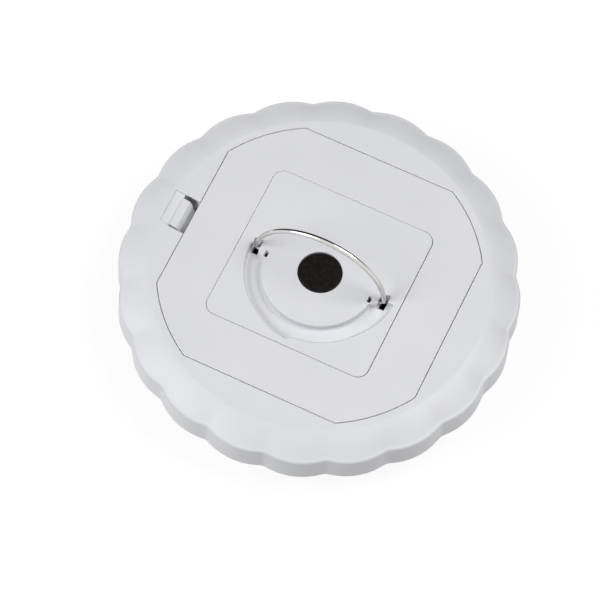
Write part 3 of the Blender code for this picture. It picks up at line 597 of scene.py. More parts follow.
def wellAndHub(shell):
    outer = doorRing(gap + housing["wellWall"], 0)
    fuse(shell, prism("well", [spot[:2] for spot in outer], floorUnder, backTop - housing["shell"] / 2))
    mouth = flared(lambda grow, z: doorRing(gap + grow, z), ledgeTop, backTop, housing["wellRound"])
    carve(shell, grown("seat", mouth))
    inner = doorRing(gap - housing["ledge"], 0)
    carve(shell, prism("bay", [spot[:2] for spot in inner], floorTop, backTop + overrun))
    fuse(shell, grown("hub", crowned(squareRing, floorUnder, backTop, housing["hubRound"], foot=0)))
    hollow = squareRing(-housing["hubWall"], 0)
    top = backTop - housing["hubTop"]
    carve(shell, prism("hub hollow", [spot[:2] for spot in hollow], floorUnder - overrun, top))


# The hub's boss with the magnet's seat, and the half-round groove beside it, by angle in degrees
groove = {
    "seatDepth": 0.0037,
    "seatRound": 0.0002,
    "boss": 0.0204,
    "bossRound": 0.0008,
    "bossEnds": 0.0024,
    "endsFrom": 4,
    "endsTo": 11,
    "outer": 0.026,
    "depth": 0.0032,
    "foot": 0.001,
    "edgeRound": 0.0007,
    "cornerOut": 0.0015,
    "cornerFrom": -120,
    "cornerTo": -90,
    "softFrom": -91,
    "softTo": -85,
    "softFade": -40,
    "softFoot": 0.0249,
    "softTop": 0.0267,
    "steps": 144,
}


def grooveCutter():
    # the outer wall is steep at its left end and opens out in a soft slope under the arch
    boss, foot, soft = groove["boss"], groove["foot"], groove["bossRound"]
    wide, depth = groove["edgeRound"], groove["depth"]
    gentle = []
    for step in range(16):
        radius = groove["softFoot"] + (groove["softTop"] - groove["softFoot"]) * step / 15
        gentle.append((radius, depth * (ramp(step, 0, 15) - 1)))
    rings = []
    for step in range(groove["steps"] + 1):
        degrees = -180 + 180 * step / groove["steps"]
        # the boss reaches out to the pockets at both ends
        inward = ramp(min(degrees + 180, -degrees), groove["endsFrom"], groove["endsTo"])
        near = boss + groove["bossEnds"] * (1 - inward)
        profile = [(near - soft, overrun)] + arc((near - soft, -soft), soft, 90, 0, 5)
        profile += arc((near + foot, foot - depth), foot, 180, 270, 6)
        # the steep wall runs out straight to a corner
        straight = (degrees - groove["cornerFrom"]) / (groove["cornerTo"] - groove["cornerFrom"])
        reach = groove["outer"] + groove["cornerOut"] * min(max(straight, 0), 1)
        steep = arc((reach - foot, foot - depth), foot, 270, 360, 7)
        steep += arc((reach + wide, -wide), wide, 180, 90, 7)
        share = ramp(degrees, groove["softFrom"], groove["softTo"])
        share *= 1 - ramp(degrees, groove["softFade"], 0)
        for first, second in zip(steep, gentle):
            profile.append([a + (b - a) * share for a, b in zip(first, second)])
        profile.append((profile[-1][0], overrun))
        turn = math.radians(degrees)
        rings.append([(r * math.cos(turn), r * math.sin(turn), backTop + z) for r, z in profile])
    return grown("groove", rings)


def seatAndGroove(shell):
    depth, edge = backTop - groove["seatDepth"], groove["seatRound"]
    reach = high["magnet"].x + gap
    profile = [(0, depth), (reach, depth), (reach, backTop - edge)]
    profile += arc((reach + edge, backTop - edge), edge, 180, 90, 4)
    profile += [(reach + edge, backTop + overrun), (0, backTop + overrun)]
    carve(shell, spun("magnet seat", profile, 128), grooveCutter())


# Where the wire's feet stand: an open pocket, a hole from below, a bore and a core slot at each end
pivot = {
    "place": 0.0241,
    "pocketNear": 0.0226,
    "pocketFar": 0.0256,
    "pocketHalf": 0.0025,
    "pocketCorner": 0.0004,
    "pocketDepth": 0.0036,
    "pocketRound": 0.0003,
    "holeAcross": 0.00105,
    "holeHalf": 0.002,
    "boreRadius": 0.00115,
    "boreStart": 0.0188,
    "slotNear": 0.0189,
    "slotFar": 0.0202,
    "slotStart": -0.003,
    "slotEnd": -0.0006,
    "corner": 0.0002,
}


def pivotCuts(shell):
    under = backTop - housing["hubTop"] - overrun
    place, start = pivot["place"], pivot["boreStart"]
    half, across = pivot["pocketHalf"], pivot["holeAcross"]
    pockets, holes, bores, slots = [], [], [], []
    for side in (-1, 1):
        near, far = sorted((side * pivot["pocketNear"], side * pivot["pocketFar"]))
        ring = boxRing((near, -half), (far, half), pivot["pocketCorner"])
        rings = flared(ring, backTop - pivot["pocketDepth"], backTop, pivot["pocketRound"])
        pockets.append(grown("pocket", rings))
        near, far = sorted((side * (place - across), side * (place + across)))
        ring = boxRing((near, -pivot["holeHalf"]), (far, pivot["holeHalf"]), pivot["corner"])
        holes.append(grown("pivot hole", [ring(0, under), ring(0, pivotHeight)]))
        bore = bar("bore", pivot["boreRadius"], 0, place - start, 32)
        moved(bore, Matrix.Rotation(side * quarter, 4, "Y"))
        bores.append(placed(bore, side * start, 0, pivotHeight))
        near, far = sorted((side * pivot["slotNear"], side * pivot["slotFar"]))
        ring = boxRing((near, pivot["slotStart"]), (far, pivot["slotEnd"]), pivot["corner"])
        slots.append(grown("core slot", flared(ring, under, backTop, 0.0001)))
    for cutters in (pockets, holes, bores, slots):
        carve(shell, *cutters)


# The notch for the latch at the left, with its undercut ledge and a shallow recess for the finger
notch = {
    "start": -0.0071,
    "end": 0.0064,
    "slant": -0.085,
    "slantMiddle": 0.0533,
    "edge": 0.0546,
    "depth": 0.0073,
    "wall": 0.0014,
    "round": 0.00025,
    "corner": 0.0003,
    "hollow": 0.0016,
    "hollowInset": 0.0006,
    "hollowFloor": 0.0005,
    "lip": 0.0005,
    "catchDepth": 0.0034,
    "catchHeight": 0.002,
    "catchEnds": 0.0009,
    "undercut": 0.001,
    "recessLength": 0.0037,
    "recessDepth": 0.0008,
    "recessEdge": 0.0005,
    "recessEnds": 0.0001,
    "recessRound": 0.0002,
}


def slanted(item):
    # the ends of the notch, its recess and the tab lean the same way in plan
    matrix = Matrix.Identity(4)
    matrix[1][0], matrix[1][3] = notch["slant"], notch["slant"] * notch["slantMiddle"]
    return moved(item, matrix)


def latchNotch(shell):
    near, far, edge = notch["start"], notch["end"], notch["edge"]
    wall, under, inset = notch["wall"], notch["undercut"], notch["hollowInset"]
    floor = backTop - notch["depth"]
    side = -wellHalf - housing["wellWall"] / 2
    start = (-edge - under - wall, near - wall, floor - wall)
    end = (side, far + wall + notch["hollow"], backTop - housing["shell"] / 2)
    fuse(shell, slanted(block("notch wall", start, end)))
    ring = boxRing((-edge, near), (-wellHalf + housing["ledge"] + overrun, far), notch["corner"])
    carve(shell, slanted(grown("notch", flared(ring, floor, backTop, notch["round"]))))
    # the far end is hollow under a thin lip, so that it stays dark
    start = (-edge + inset, far - overrun, floor + notch["hollowFloor"])
    end = (side - inset, far + notch["hollow"], backTop - notch["lip"])
    carve(shell, slanted(block("end hollow", start, end)))
    ledgeUnder = backTop - notch["catchDepth"]
    start = (-edge - under, near + notch["catchEnds"], ledgeUnder - notch["catchHeight"])
    end = (-edge + overrun, far - notch["catchEnds"], ledgeUnder)
    carve(shell, slanted(block("catch", start, end)))
    deep, shallow = backTop - notch["recessDepth"], backTop - notch["recessEdge"]
    tip, soft, past = -edge - notch["recessLength"], notch["recessRound"], -edge + overrun
    outline = [(past, deep), (-edge, deep), (tip + soft, shallow), (tip, shallow + soft)]
    outline += [(tip, backTop + overrun), (past, backTop + overrun)]
    recess = sidePrism("recess", outline, near + notch["recessEnds"], far - notch["recessEnds"])
    carve(shell, slanted(roundEdges(recess, soft, 3, 60)))


# Inside the well: ribs that hold the contacts, screw holes, slots for the prongs and for the hinge
well = {
    "ribNear": 0.029,
    "ribThick": 0.0014,
    "ribStart": 0.0335,
    "ribRoot": 0.0005,
    "ribSink": 0.0008,
    "ribDrop": 0.0013,
    "screwHole": 0.0016,
    "prongNear": 0.028,
    "prongFar": 0.0293,
    "prongStart": 0.0382,
    "prongEnd": 0.0408,
    "hingeUnder": 0.0045,
    "hingeTop": 0.001,
}


def cornerPair(name, near, far, start, end, bottom, top):
    # two blocks at a corner of the well, each the other's mirror picture
    first = block(name, (near, -end, bottom), (far, -start, top))
    return first, block(name, (start, -far, bottom), (end, -near, top))


def wellDetails(shell):
    near, inner, outer = well["ribNear"], wellHalf - housing["ledge"], wellHalf + housing["wellWall"]
    below, above = floorUnder - overrun, floorTop + overrun
    sides = (near, near + well["ribThick"], well["ribStart"], inner + well["ribRoot"])
    ribs = []
    holes = []
    for count in range(4):
        pair = cornerPair("rib", *sides, floorTop - well["ribSink"], ledgeTop - well["ribDrop"])
        ribs += [turned(rib, count) for rib in pair]
        hole = bar("hole", well["screwHole"], below, above, 32)
        holes.append(turned(placed(hole, screwPlace, -screwPlace), count))
    fuse(shell, *ribs)
    sides = [well["prong" + key] for key in ("Near", "Far", "Start", "End")]
    pair = cornerPair("prong slot", *sides, below, above)
    carve(shell, *holes, *[turned(slot, 3) for slot in pair])
    slots = []
    for middle in (-hinge["place"], hinge["place"]):
        start = (inner - overrun, middle - hinge["slotHalf"], backTop - well["hingeUnder"])
        end = (outer + overrun, middle + hinge["slotHalf"], backTop - well["hingeTop"])
        slots.append(block("hinge slot", start, end))
    carve(shell, *slots)


def makeHousing():
    shell = housingShell()
    carve(shell, housingHollow())
    wellAndHub(shell)
    seatAndGroove(shell)
    pivotCuts(shell)
    latchNotch(shell)
    wellDetails(shell)
    smooth(shell, 30)
    dress(shell, "root", ["rear_housing"], "housing_plastic", whitePlastic)


makeHousing()
print("rear housing done")

# Battery door: a square ring round the hub with two hinge tongues and the latch's leg
door = {
    "thick": 0.002,
    "edgeRound": 0.0003,
    "grow": 0.00008,
    "windowGap": 0.00012,
    "hingeSideGap": 0.0001,
    "tongueStart": 0.004,
    "tongueUnder": 0.0025,
    "tongueTop": 0.0013,
    "legMiddle": 0.0002,
    "legHalf": 0.0062,
    "legThick": 0.0015,
    "legTop": 0.001,
}


def makeDoor():
    half, edge = frameSize["half"], door["edgeRound"]
    thin = backTop - door["thick"]
    outer = crowned(lambda grow, z: doorRing(door["grow"] + grow, z), thin, backTop, edge)
    piece = grown("batteryDoor", outer)

    def window(grow, height):
        return squareRing(door["windowGap"] + grow, height, door["hingeSideGap"])

    carve(piece, grown("window", flared(window, thin - overrun, backTop, edge)))
    tongues = []
    for middle in (-hinge["place"], hinge["place"]):
        start = (half - door["tongueStart"], middle - hinge["tongueHalf"], backTop - door["tongueUnder"])
        end = (high["battery_door"].x, middle + hinge["tongueHalf"], backTop - door["tongueTop"])
        tongues.append(roundEdges(block("tongue", start, end), edge, 3))
    fuse(piece, *tongues)
    start = (-half, door["legMiddle"] - door["legHalf"], low["battery_door"].z)
    end = (door["legThick"] - half, door["legMiddle"] + door["legHalf"], backTop - door["legTop"])
    fuse(piece, block("leg", start, end))
    smooth(piece, 30)
    dress(piece, "door", ["battery_door"], "housing_plastic", doorPlastic)


makeDoor()

# Latch: the sprung strap with its finger tab
latch = {
    "opening": 0.0034,
    "depth": 0.0058,
    "strap": 0.0012,
    "root": 0.0015,
    "headDepth": 0.0051,
    "chamfer": 0.0008,
    "tabPlace": 0.0007,
    "tabRound": 0.0019,
    "tabDrop": 0.0002,
    "tabRun": 2.2,
    "lip": 0.0004,
    "lipDepth": 0.0003,
    "near": -0.0064,
    "far": 0.0048,
    "edgeRound": 0.00012,
}


def makeLatch():
    edge, soft, lip = -frameSize["half"], latch["tabRound"], latch["lip"]
    top = backTop - latch["tabDrop"]
    deep = latch["depth"] + latch["strap"]
    # the tab's top runs over a wide round into the inside of the strap
    middle = edge - latch["opening"] - latch["tabPlace"]
    inside = middle + soft
    drop = latch["tabRun"] * soft
    outline = []
    for step in range(13):
        angle = quarter * (1 - step / 12)
        outline.append((middle + soft * math.cos(angle), top - drop * (1 - math.sin(angle))))
    for step in range(1, 13):
        angle = quarter * step / 12
        across = (edge - inside) * (1 - math.cos(angle))
        depth = drop + latch["tabDrop"]
        outline.append((inside + across, backTop - depth - (latch["depth"] - depth) * math.sin(angle)))
    root = edge + latch["root"]
    outline += [(root, backTop - latch["depth"]), (root, backTop - deep)]
    meet = math.asin(latch["headDepth"] / deep)
    for step in range(17):
        angle = quarter + (meet - quarter) * step / 16
        across = (latch["opening"] + latch["strap"]) * math.cos(angle)
        outline.append((edge - across, backTop - deep * math.sin(angle)))
    tip, chamfer = low["door_latch"].x, latch["chamfer"]
    headUnder, lipUnder = backTop - latch["headDepth"], top - latch["lipDepth"]
    outline += [(tip + chamfer, headUnder), (tip, headUnder + chamfer), (tip, lipUnder - lip)]
    outline += [(tip - lip, lipUnder), (tip - lip, top)]
    piece = sidePrism("doorLatch", outline, latch["near"], latch["far"])
    roundEdges(piece, latch["edgeRound"], 3, 35)
    slanted(piece)
    smooth(piece, 30)
    dress(piece, "latch", ["door_latch"], "housing_plastic", whitePlastic)


makeLatch()
print("door and latch done")

# Wire bail
bail = {
    "radius": 0.0241,
    "wire": 0.0009,
    "bend": 0.0016,
    "end": 0.0191,
    "endEase": 0.0003,
    "straight": 0.0004,
    "blend": 0.0002,
    "lean": math.radians(2.9),
    "archSteps": 96,
    "sides": 32,
}


def wireRings(points, radius, sides, ease=0.0):
    # rings square to a path; ease rounds off the two ends
    rings = []
    last = len(points) - 1
    up = (points[1] - points[0]).orthogonal().normalized()
    ends = [(0.0, 0.6), (0.3 * ease, 0.9), (ease, 1.0)]
    for index, point in enumerate(points):
        ahead = (points[min(index + 1, last)] - points[max(index - 1, 0)]).normalized()
        across = ahead.cross(up).normalized()
        up = across.cross(ahead).normalized()
        stops = [(0.0, 1.0)]
        if ease and index == 0:
            stops = ends
        if ease and index == last:
            stops = [(-offset, share) for offset, share in reversed(ends)]
        for offset, share in stops:
            ring = []
            for step in range(sides):
                angle = math.tau * step / sides
                turn = up * math.cos(angle) + across * math.sin(angle)
                ring.append(point + ahead * offset + turn * radius * share)
            rings.append(ring)
    return rings


def makeBail():
    radius, bend, steps = bail["radius"], bail["bend"], bail["archSteps"] // 2
    half = [Vector((bail["end"], 0, 0)), Vector((radius - bend - bail["straight"], 0, 0))]
    for across, height in arc((radius - bend, bend), bend, -90, -8, 10):
        half.append(Vector((across, 0, height)))
    first = math.asin((bend + bail["blend"]) / radius)
    for step in range(steps + 1):
        angle = first + (quarter - first) * step / steps
        half.append(Vector((radius * math.cos(angle), 0, radius * math.sin(angle))))
    points = half + [Vector((-spot.x, 0, spot.z)) for spot in reversed(half[:-1])]
    stand = Matrix.Translation((0, 0, pivotHeight)) @ Matrix.Rotation(-bail["lean"], 4, "X")
    points = [stand @ spot for spot in points]
    piece = grown("hangingBail", wireRings(points, bail["wire"], bail["sides"], bail["endEase"]))
    smooth(piece, 50)
    dress(piece, "bail", ["hanging_bail"], "bail_wire", brightWire)


makeBail()

# Disc magnet
disc = {"edgeRound": 0.00025, "steps": 128}


def makeMagnet():
    bottom, top, reach = low["magnet"].z, high["magnet"].z, high["magnet"].x
    edge = disc["edgeRound"]
    profile = [(0, bottom), (reach - edge, bottom), (reach, bottom + edge)]
    profile += arc((reach - edge, top - edge), edge, 0, 90, 5)
    profile.append((0, top))
    piece = spun("discMagnet", profile, disc["steps"])
    smooth(piece, 25)
    dress(piece, "root", ["magnet"], "magnet", darkCoat)


makeMagnet()
print("bail and magnet done")

# Front bezel with the posts for the screws
bezel = {
    "profile": (
        (0.0435, 0), (0.0597, 0), (0.0605, 0.0008), (0.0620, 0.0123), (0.0652, 0.0123),
        (0.0652, 0.0138), (0.0600, 0.0138), (0.0585, 0.0020), (0.0435, 0.0020),
    ),
    "edgeRound": 0.0004,
    "postRadius": 0.0032,
    "postFoot": 0.001,
    "postTop": 0.0088,
    "postEase": 0.0002,
    "boreRadius": 0.0016,
    "boreFoot": 0.002,
    "webThick": 0.0009,
    "webStart": 0.0522,
    "webEnd": 0.0592,
    "webTop": 0.0062,
}


def makeBezel():
    piece = roundEdges(spun("frontBezel", bezel["profile"], 240), bezel["edgeRound"], 3, 30)
    foot, top, thick = bezel["postFoot"], bezel["postTop"], bezel["webThick"]
    posts, bores, webs = [], [], []
    for count in range(4):
        post = bar("post", bezel["postRadius"], foot, top, 48, bezel["postEase"])
        posts.append(turned(placed(post, screwPlace, screwPlace), count))
        bore = bar("post bore", bezel["boreRadius"], bezel["boreFoot"], top + overrun, 32)
        bores.append(turned(placed(bore, screwPlace, screwPlace), count))
        # one web ties each post to the drum
        start = (bezel["webStart"], -thick / 2, foot)
        web = block("web", start, (bezel["webEnd"], thick / 2, bezel["webTop"]))
        webs.append(turned(web, count + 0.5))
    fuse(piece, *posts)
    fuse(piece, *webs)
    carve(piece, *bores)
    smooth(piece, 30)
    dress(piece, "root", ["front_bezel"], "housing_plastic", whitePlastic)


# Lens with shallow prism rings on the side that faces the LEDs
lens = {
    "hole": 0.0083,
    "face": 0.0432,
    "flange": 0.0467,
    "flangeFront": 0.0023,
    "prismStart": 0.0125,
    "prismEnd": 0.0415,
    "prismCount": 16,
    "prismRise": 0.0004,
    "prismEase": 0.0002,
    "edgeRound": 0.00012,
}


def makeLens():
    front, back = low["lens"].z, high["lens"].z
    hole, face, flange, step = lens["hole"], lens["face"], lens["flange"], lens["flangeFront"]
    profile = [(hole, front), (face, front), (face, step), (flange, step), (flange, back)]
    start, count = lens["prismStart"], lens["prismCount"]
    run = lens["prismEnd"] - start
    for ring in range(count, 0, -1):
        outer = start + run * ring / count
        inner = start + run * (ring - 1) / count
        profile += [(outer, back), (inner + lens["prismEase"], back - lens["prismRise"])]
    profile += [(start, back), (hole, back)]
    piece = roundEdges(spun("clearLens", profile, 192), lens["edgeRound"], 2, 60)
    smooth(piece, 20)
    dress(piece, "root", ["lens"], "lens", clearAcrylic)


# Reflector: a tray with a flared cup round each LED
tray = {
    "hole": 0.0101,
    "collarWall": 0.001,
    "plate": 0.0063,
    "plateStart": 0.0128,
    "plateEnd": 0.0044,
    "rimWall": 0.001,
    "edgeRound": 0.00015,
    "cupMouth": 0.0037,
    "cupHole": 0.0028,
    "cupDepth": 0.0006,
}


def ledSpots():
    spots = []
    for reach, count in zip(ledRings["radii"], ledRings["counts"]):
        for step in range(count):
            angle = math.tau * (step + 0.25) / count
            spots.append((reach * math.cos(angle), reach * math.sin(angle)))
    return spots


def makeReflector():
    front, back, outer = low["reflector"].z, high["reflector"].z, high["reflector"].x
    plate, hole, mouth, cup = tray["plate"], tray["hole"], tray["cupMouth"], tray["cupHole"]
    profile = [(hole, back), (hole, front), (hole + tray["collarWall"], front)]
    profile += [(tray["plateStart"], plate), (outer - tray["plateEnd"], plate)]
    profile += [(outer - tray["rimWall"], front), (outer, front), (outer, back)]
    piece = roundEdges(spun("lampReflector", profile, 192), tray["edgeRound"], 2, 25)
    profile = [(0, plate - overrun), (mouth, plate - overrun), (mouth, plate)]
    profile += [(cup, plate + tray["cupDepth"]), (cup, back + overrun), (0, back + overrun)]
    carve(piece, *[placed(spun("led hole", profile, 40), x, y) for x, y in ledSpots()])
    smooth(piece, 25)
    dress(piece, "root", ["reflector"], "reflector", reflectorCoat)


makeBezel()
makeLens()
makeReflector()
print("bezel, lens and reflector done")

# Circuit board
board = {"ease": 0.0002, "notchRadius": 0.0011, "notchOut": 0.0002}


def makeBoard():
    front, back, outer = low["led_board"].z, high["led_board"].z, high["led_board"].x
    piece = bar("lampBoard", outer, front, back, 192, board["ease"])
    notches = []
    for count in range(4):
        cutter = bar("board notch", board["notchRadius"], front - overrun, back + overrun, 24)
        notches.append(turned(placed(cutter, outer + board["notchOut"], 0), count + 0.5))
    carve(piece, *notches)
    smooth(piece, 30)
    dress(piece, "root", ["led_board"], "circuit_board", greenMask)


# LED with a domed tip, a flange and a flat at the cathode
led = {
    "dome": 0.0019,
    "domeFoot": 0.0003,
    "domeSteps": 8,
    "flange": 0.0025,
    "flangeHeight": 0.001,
    "ease": 0.0001,
    "flatPlace": 0.0022,
    "flatReach": 0.003,
}


def makeLeds():
    top, tip = high["led_01"].z, low["led_01"].z
    dome, flange, ease, reach = led["dome"], led["flange"], led["ease"], led["flatReach"]
    rim = top - led["flangeHeight"]
    foot = rim - led["domeFoot"]
    profile = [(0, tip)]
    for step in range(1, led["domeSteps"] + 1):
        angle = quarter * step / led["domeSteps"]
        profile.append((dome * math.sin(angle), foot - (foot - tip) * math.cos(angle)))
    profile += [(dome, rim - ease), (dome + 2 * ease, rim), (flange - 1.5 * ease, rim)]
    profile += [(flange, rim + 1.5 * ease), (flange, top - ease), (flange - ease, top), (0, top)]
    model = spun("led model", profile, 32)
    start, end = (led["flatPlace"], -reach, rim - ease / 2), (reach, reach, top + overrun)
    carve(model, block("cathode flat", start, end))
    smooth(model, 35)
    for number, (x, y) in enumerate(ledSpots(), 1):
        piece = placed(copied(model, f"lamp{number:02d}"), x, y)
        dress(piece, "root", [f"led_{number:02d}"], "led", warmResin)
    bpy.data.objects.remove(model, do_unlink=True)


# Push switch with its plunger
switch = {
    "edgeRound": 0.0003,
    "ringOuter": 0.0028,
    "ringInner": 0.0024,
    "ringDepth": 0.0003,
    "bore": 0.0018,
    "pip": 0.00045,
    "pipPlace": 0.0031,
    "pipDepth": 0.0002,
    "stem": 0.0015,
    "stemEase": 0.00025,
}


def makeSwitch():
    start, end = low["switch_body"], high["switch_body"]
    face, below, place = start.z, start.z - overrun, switch["pipPlace"]
    piece = roundEdges(block("switchBody", start, end), switch["edgeRound"], 3)
    ring = bar("ring", switch["ringOuter"], below, face + switch["ringDepth"], 40)
    core = bar("ring core", switch["ringInner"], below - overrun, face + overrun / 2, 40)
    carve(piece, carve(ring, core))
    carve(piece, bar("plunger bore", switch["bore"], below, end.z + overrun, 40))
    pips = []
    for x in (-place, place):
        for y in (-place, place):
            pip = bar("pip", switch["pip"], below, face + switch["pipDepth"], 16)
            pips.append(placed(pip, x, y))
    carve(piece, *pips)
    smooth(piece, 30)
    dress(piece, "root", ["switch_body"], "switch", switchPlastic)
    bottom, top = low["switch_plunger"].z, high["switch_plunger"].z
    stem = bar("switchPlunger", switch["stem"], bottom, top, 40, switch["stemEase"])
    smooth(stem, 30)
    dress(stem, "button", ["switch_plunger"], "button", plungerPlastic)


# Push button: a cap with a dished face, a flange behind and a pad for the plunger
button = {
    "dish": ((0, 0.0005), (0.003, 0.00042), (0.0055, 0.0002), (0.0069, 0)),
    "radius": 0.008,
    "edgeRound": 0.0005,
    "flangeFront": 0.0041,
    "ease": 0.0002,
    "inner": 0.0068,
    "inside": 0.0021,
    "pad": 0.0015,
    "padBack": 0.0026,
}


def makeButton():
    face, back, flange = low["push_button"].z, high["push_button"].z, high["push_button"].x
    radius, edge, ease = button["radius"], button["edgeRound"], button["ease"]
    front, inner, inside = button["flangeFront"], button["inner"], button["inside"]
    pad, padBack = button["pad"], button["padBack"]
    profile = [(across, face + depth) for across, depth in button["dish"]]
    profile += arc((radius - edge, face + edge), edge, 270, 360, 5)
    profile += [(radius, front), (flange - ease, front), (flange, front + ease), (flange, back - ease)]
    profile += [(flange - ease, back), (inner, back), (inner, inside), (pad, inside)]
    profile += [(pad, padBack), (0, padBack)]
    piece = spun("pushButton", profile, 96)
    smooth(piece, 35)
    dress(piece, "button", ["push_button"], "button", buttonRubber)


makeBoard()
makeLeds()
makeSwitch()
makeButton()
print("board, LEDs, switch and button done")

# Battery cells: wrap with a coloured half, bare metal at both ends
cell = {
    "radius": 0.00725,
    "across": 0.0395,
    "height": 0.01815,
    "start": -0.0225,
    "end": 0.028,
    "nub": 0.00275,
    "nubLength": 0.0015,
    "nubRound": 0.0003,
    "cup": ((0, 0.0002), (0.0045, 0.0002), (0.0048, 0)),
    "cupRound": 0.0005,
    "shoulderRound": 0.0008,
    "seal": ((0.0058, 0), (0.0054, -0.0003), (0.0034, -0.0003), (0.003, 0), (0.00275, 0.0002)),
    "metalReach": 0.0056,
    "bandStart": 0.5,
}


def makeCells():
    radius, length = cell["radius"], cell["end"] - cell["start"]
    cup, soft, tip = cell["cupRound"], cell["shoulderRound"], cell["nubRound"]
    shoulder = length - cell["nubLength"]
    profile = list(cell["cup"]) + [(radius - cup - 0.0002, 0)]
    profile += arc((radius - cup, cup), cup, -90, 0, 5)
    profile.append((radius, shoulder - 1.5 * soft))
    profile += arc((radius - soft, shoulder - soft), soft, 0, 90, 6)
    profile += [(across, shoulder + rise) for across, rise in cell["seal"]]
    profile.append((cell["nub"], length - tip))
    profile += arc((cell["nub"] - tip, length - tip), tip, 0, 90, 4) + [(0, length)]
    model = spun("cell model", profile, 64)
    smooth(model, 35)
    # slots of the finishes: 0 the wrap, 1 the metal and 2 the coloured half
    for face in model.data.polygons:
        spot = face.center
        if spot.xy.length < cell["metalReach"] or spot.z > shoulder + 0.0001:
            face.material_index = 1
        elif spot.z > shoulder * cell["bandStart"]:
            face.material_index = 2
    moved(model, Matrix.Rotation(quarter, 4, "Y"))
    placed(model, cell["start"], -cell["across"], cell["height"])
    dressFour(model, "batteryCell", "battery_cell", "cell_wrap", cellWrap, cellMetal, cellBand)


# Conical coil springs at the cells' negative ends
coil = {
    "turns": 3.5,
    "stepsEach": 28,
    "wide": 0.0036,
    "narrow": 0.0018,
    "flatShare": 0.07,
    "start": -0.02765,
    "length": 0.0045,
    "wire": 0.00035,
    "sides": 12,
    "ease": 0.00012,
}


def makeSprings():
    points = []
    count = int(coil["turns"] * coil["stepsEach"])
    for step in range(count + 1):
        share = step / count
        angle = math.tau * coil["turns"] * share
        reach = coil["wide"] + (coil["narrow"] - coil["wide"]) * share
        # the first and last quarter turns lie flat
        rise = min(max((share - coil["flatShare"]) / (1 - 2 * coil["flatShare"]), 0), 1)
        along = coil["start"] + coil["length"] * rise
        points.append(Vector((along, reach * math.cos(angle), reach * math.sin(angle))))
    model = grown("spring model", wireRings(points, coil["wire"], coil["sides"], coil["ease"]))
    smooth(model, 50)
    placed(model, 0, -cell["across"], cell["height"])
    dressFour(model, "contactSpring", "contact_spring", "contacts", springMetal)


# Folded contact strips and terminals, which keep their outlines and get eased edges
strip = {"edgeRound": 0.00012}


def makeContacts():
    for node in [name for name in low if name.startswith(("contact_bridge", "terminal_"))]:
        parts = node.split("_")
        piece = copied(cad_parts[node], parts[0] + parts[-1].capitalize())
        piece.parent = None
        piece.matrix_world = Matrix.Identity(4)
        tidyMesh(piece)
        roundEdges(piece, strip["edgeRound"], 2, 40)
        smooth(piece, 30)
        dress(piece, "root", [node], "contacts", springMetal)


# Screws with a slotted head
screw = {
    "under": 0.0109,
    "tip": 0.0005,
    "core": 0.00102,
    "thread": 0.0013,
    "pitch": 0.0009,
    "plain": 0.0006,
    "neck": 0.00115,
    "neckRise": 0.0004,
    "head": 0.003,
    "headSide": 0.0009,
    "ease": 0.0002,
    "slotHalf": 0.0004,
    "slotDepth": 0.0009,
    "slotReach": 0.004,
}


def makeScrews():
    bottom, under, top = low["housing_screw_1"].z, screw["under"], high["housing_screw_1"].z
    plain, pitch, core = screw["plain"], screw["pitch"], screw["core"]
    head, side, ease = screw["head"], screw["headSide"], screw["ease"]
    profile = [(0, bottom), (screw["tip"], bottom)]
    for step in range(int((under - plain - bottom - plain) / pitch)):
        height = bottom + plain + pitch * step
        profile += [(core, height), (screw["thread"], height + pitch / 2)]
    profile += [(core, under - screw["neckRise"]), (screw["neck"], under), (head - ease, under)]
    profile += [(head, under + ease), (head, under + side)]
    profile += arc((head - side, under + side + ease / 2), side, 0, 90, 6)[1:] + [(0, top)]
    model = spun("screw model", profile, 48)
    half, reach = screw["slotHalf"], screw["slotReach"]
    carve(model, block("slot", (-reach, -half, top - screw["slotDepth"]), (reach, half, top + overrun)))
    smooth(model, 35)
    placed(model, screwPlace, -screwPlace)
    dressFour(model, "housingScrew", "housing_screw", "screws", screwMetal)


makeCells()
makeSprings()
makeContacts()
makeScrews()
print("cells, contacts and screws done")

# Camera at the photograph's angle; focal and aimPixel are in pixels of the square frame
view = {
    "azimuth": math.radians(20.4),
    "elevation": math.radians(64.97),
    "roll": -0.09269,
    "frame": 600,
    "focal": 3232.9,
    "distance": 1.1137,
    "aim": Vector((0, 0, rimTop)),
    "aimPixel": (319.57, 277.24),
    "clipStart": 0.05,
}


def makeCamera():
    azimuth, elevation, roll = view["azimuth"], view["elevation"], view["roll"]
    flat = math.cos(elevation)
    back = Vector((math.sin(azimuth) * flat, -math.cos(azimuth) * flat, math.sin(elevation)))
    level = Vector((math.cos(azimuth), math.sin(azimuth), 0))
    rise = back.cross(level)
    right = math.cos(roll) * level - math.sin(roll) * rise
    up = math.sin(roll) * level + math.cos(roll) * rise
    pixel = view["distance"] / view["focal"]
    place = view["aim"] + back * view["distance"]
    place -= right * (view["aimPixel"][0] - view["frame"] / 2) * pixel
    place += up * (view["aimPixel"][1] - view["frame"] / 2) * pixel
    deselectAll()
    bpy.ops.object.camera_add(location=place)
    camera = bpy.context.object
    camera.matrix_world = Matrix.Translation(place) @ Matrix((right, up, back)).transposed().to_4x4()
    camera.data.lens = view["focal"] / view["frame"] * camera.data.sensor_width
    camera.data.clip_start = view["clipStart"]
    bpy.context.scene.camera = camera
    return right, up, back


right, up, back = makeCamera()

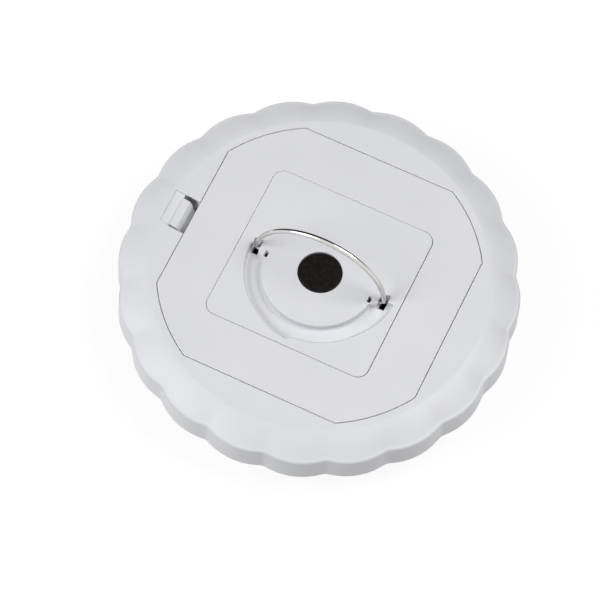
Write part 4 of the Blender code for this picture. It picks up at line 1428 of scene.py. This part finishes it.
# World, lamps, floor and a dark card; the lamps' places follow the camera's axes
studio = {
    "worldLevel": 0.14,
    "worldColor": (0.98, 0.99, 1.0, 1),
    "lamps": {
        "left lamp": {"side": -0.85, "lift": 0.12, "near": 0.8, "power": 13.4},
        "right lamp": {"side": 0.66, "lift": 0.45, "near": 0.95, "power": 14.2},
    },
    "lampAim": Vector((0, 0, 0.02)),
    "lampDistance": 1.5,
    "lampSize": 0.9,
    "floorSize": 4,
    "floorDrop": 0.0001,
    "floorColor": (0.7, 0.7, 0.7, 1),
    "floorShare": 0.2,
    "floorGlow": 1.1,
    "cardColor": (0.03, 0.028, 0.026, 1),
    "cardDistance": 0.12,
    "cardHeight": 0.42,
    "cardWidth": 0.6,
}


def makeLamp(name, settings):
    direction = right * settings["side"] + up * settings["lift"] + back * settings["near"]
    direction.normalize()
    deselectAll()
    place = studio["lampAim"] + direction * studio["lampDistance"]
    bpy.ops.object.light_add(type="AREA", location=place)
    lamp = bpy.context.object
    lamp.name = name
    lamp.rotation_euler = direction.to_track_quat("Z", "Y").to_euler()
    lamp.data.size = studio["lampSize"]
    lamp.data.energy = settings["power"]


def seenByEye(nodes):
    # one for rays from the camera, from glossy surfaces and through clear ones
    kinds = ("Is Camera Ray", "Is Glossy Ray", "Is Transmission Ray")
    total, *others = nodes.several(nodes.add("ShaderNodeLightPath", {}, {}), kinds)
    for other in others:
        total = nodes.add("ShaderNodeMath", {"operation": "MAXIMUM"}, {0: total, 1: other})
    return total


def makeWorld():
    world = bpy.data.worlds.new("studio")
    bpy.context.scene.world = world
    world.use_nodes = True
    world.node_tree.nodes.remove(world.node_tree.nodes["Background"])
    nodes = Nodes(world.node_tree)
    sockets = {"Color": studio["worldColor"], "Strength": studio["worldLevel"]}
    light = nodes.add("ShaderNodeBackground", {}, sockets)
    plain = nodes.add("ShaderNodeBackground", {}, {"Color": (1, 1, 1, 1)})
    nodes.mixInto("World Output", seenByEye(nodes), light, plain)


def makeFloor():
    deselectAll()
    bpy.ops.mesh.primitive_grid_add(x_subdivisions=8, y_subdivisions=8, size=studio["floorSize"])
    floor = bpy.context.object
    floor.name = "floor"
    floor.location.z = -studio["floorDrop"]
    finish = Finish("pale floor", Base_Color=studio["floorColor"], Roughness=0.8)
    glow = finish.add("ShaderNodeEmission", {}, {"Strength": studio["floorGlow"]})
    share = seenByEye(finish) * (1 - studio["floorShare"])
    finish.mixInto("Material Output", share, Signal(finish, finish.shader.outputs[0]), glow)
    floor.data.materials.append(finish.material)


def makeCard():
    # it stands behind the light, and only the bright wire and other glossy surfaces see it
    deselectAll()
    away = -Vector((back.x, back.y, 0)).normalized()
    place = away * studio["cardDistance"] + Vector((0, 0, studio["cardHeight"] / 2))
    bpy.ops.mesh.primitive_plane_add(size=1, location=place)
    card = bpy.context.object
    card.name = "darkCard"
    card.rotation_euler = away.to_track_quat("Z", "Y").to_euler()
    card.scale = (studio["cardWidth"], studio["cardHeight"], 1)
    finish = Finish("dark card", Base_Color=studio["cardColor"], Roughness=0.9)
    card.data.materials.append(finish.material)
    for kind in ("camera", "diffuse", "shadow", "transmission"):
        setattr(card, "visible_" + kind, False)


for name, settings in studio["lamps"].items():
    makeLamp(name, settings)
makeWorld()
makeFloor()
makeCard()
bpy.context.scene.view_settings.view_transform = "Standard"
print("camera, lamps and floor done")
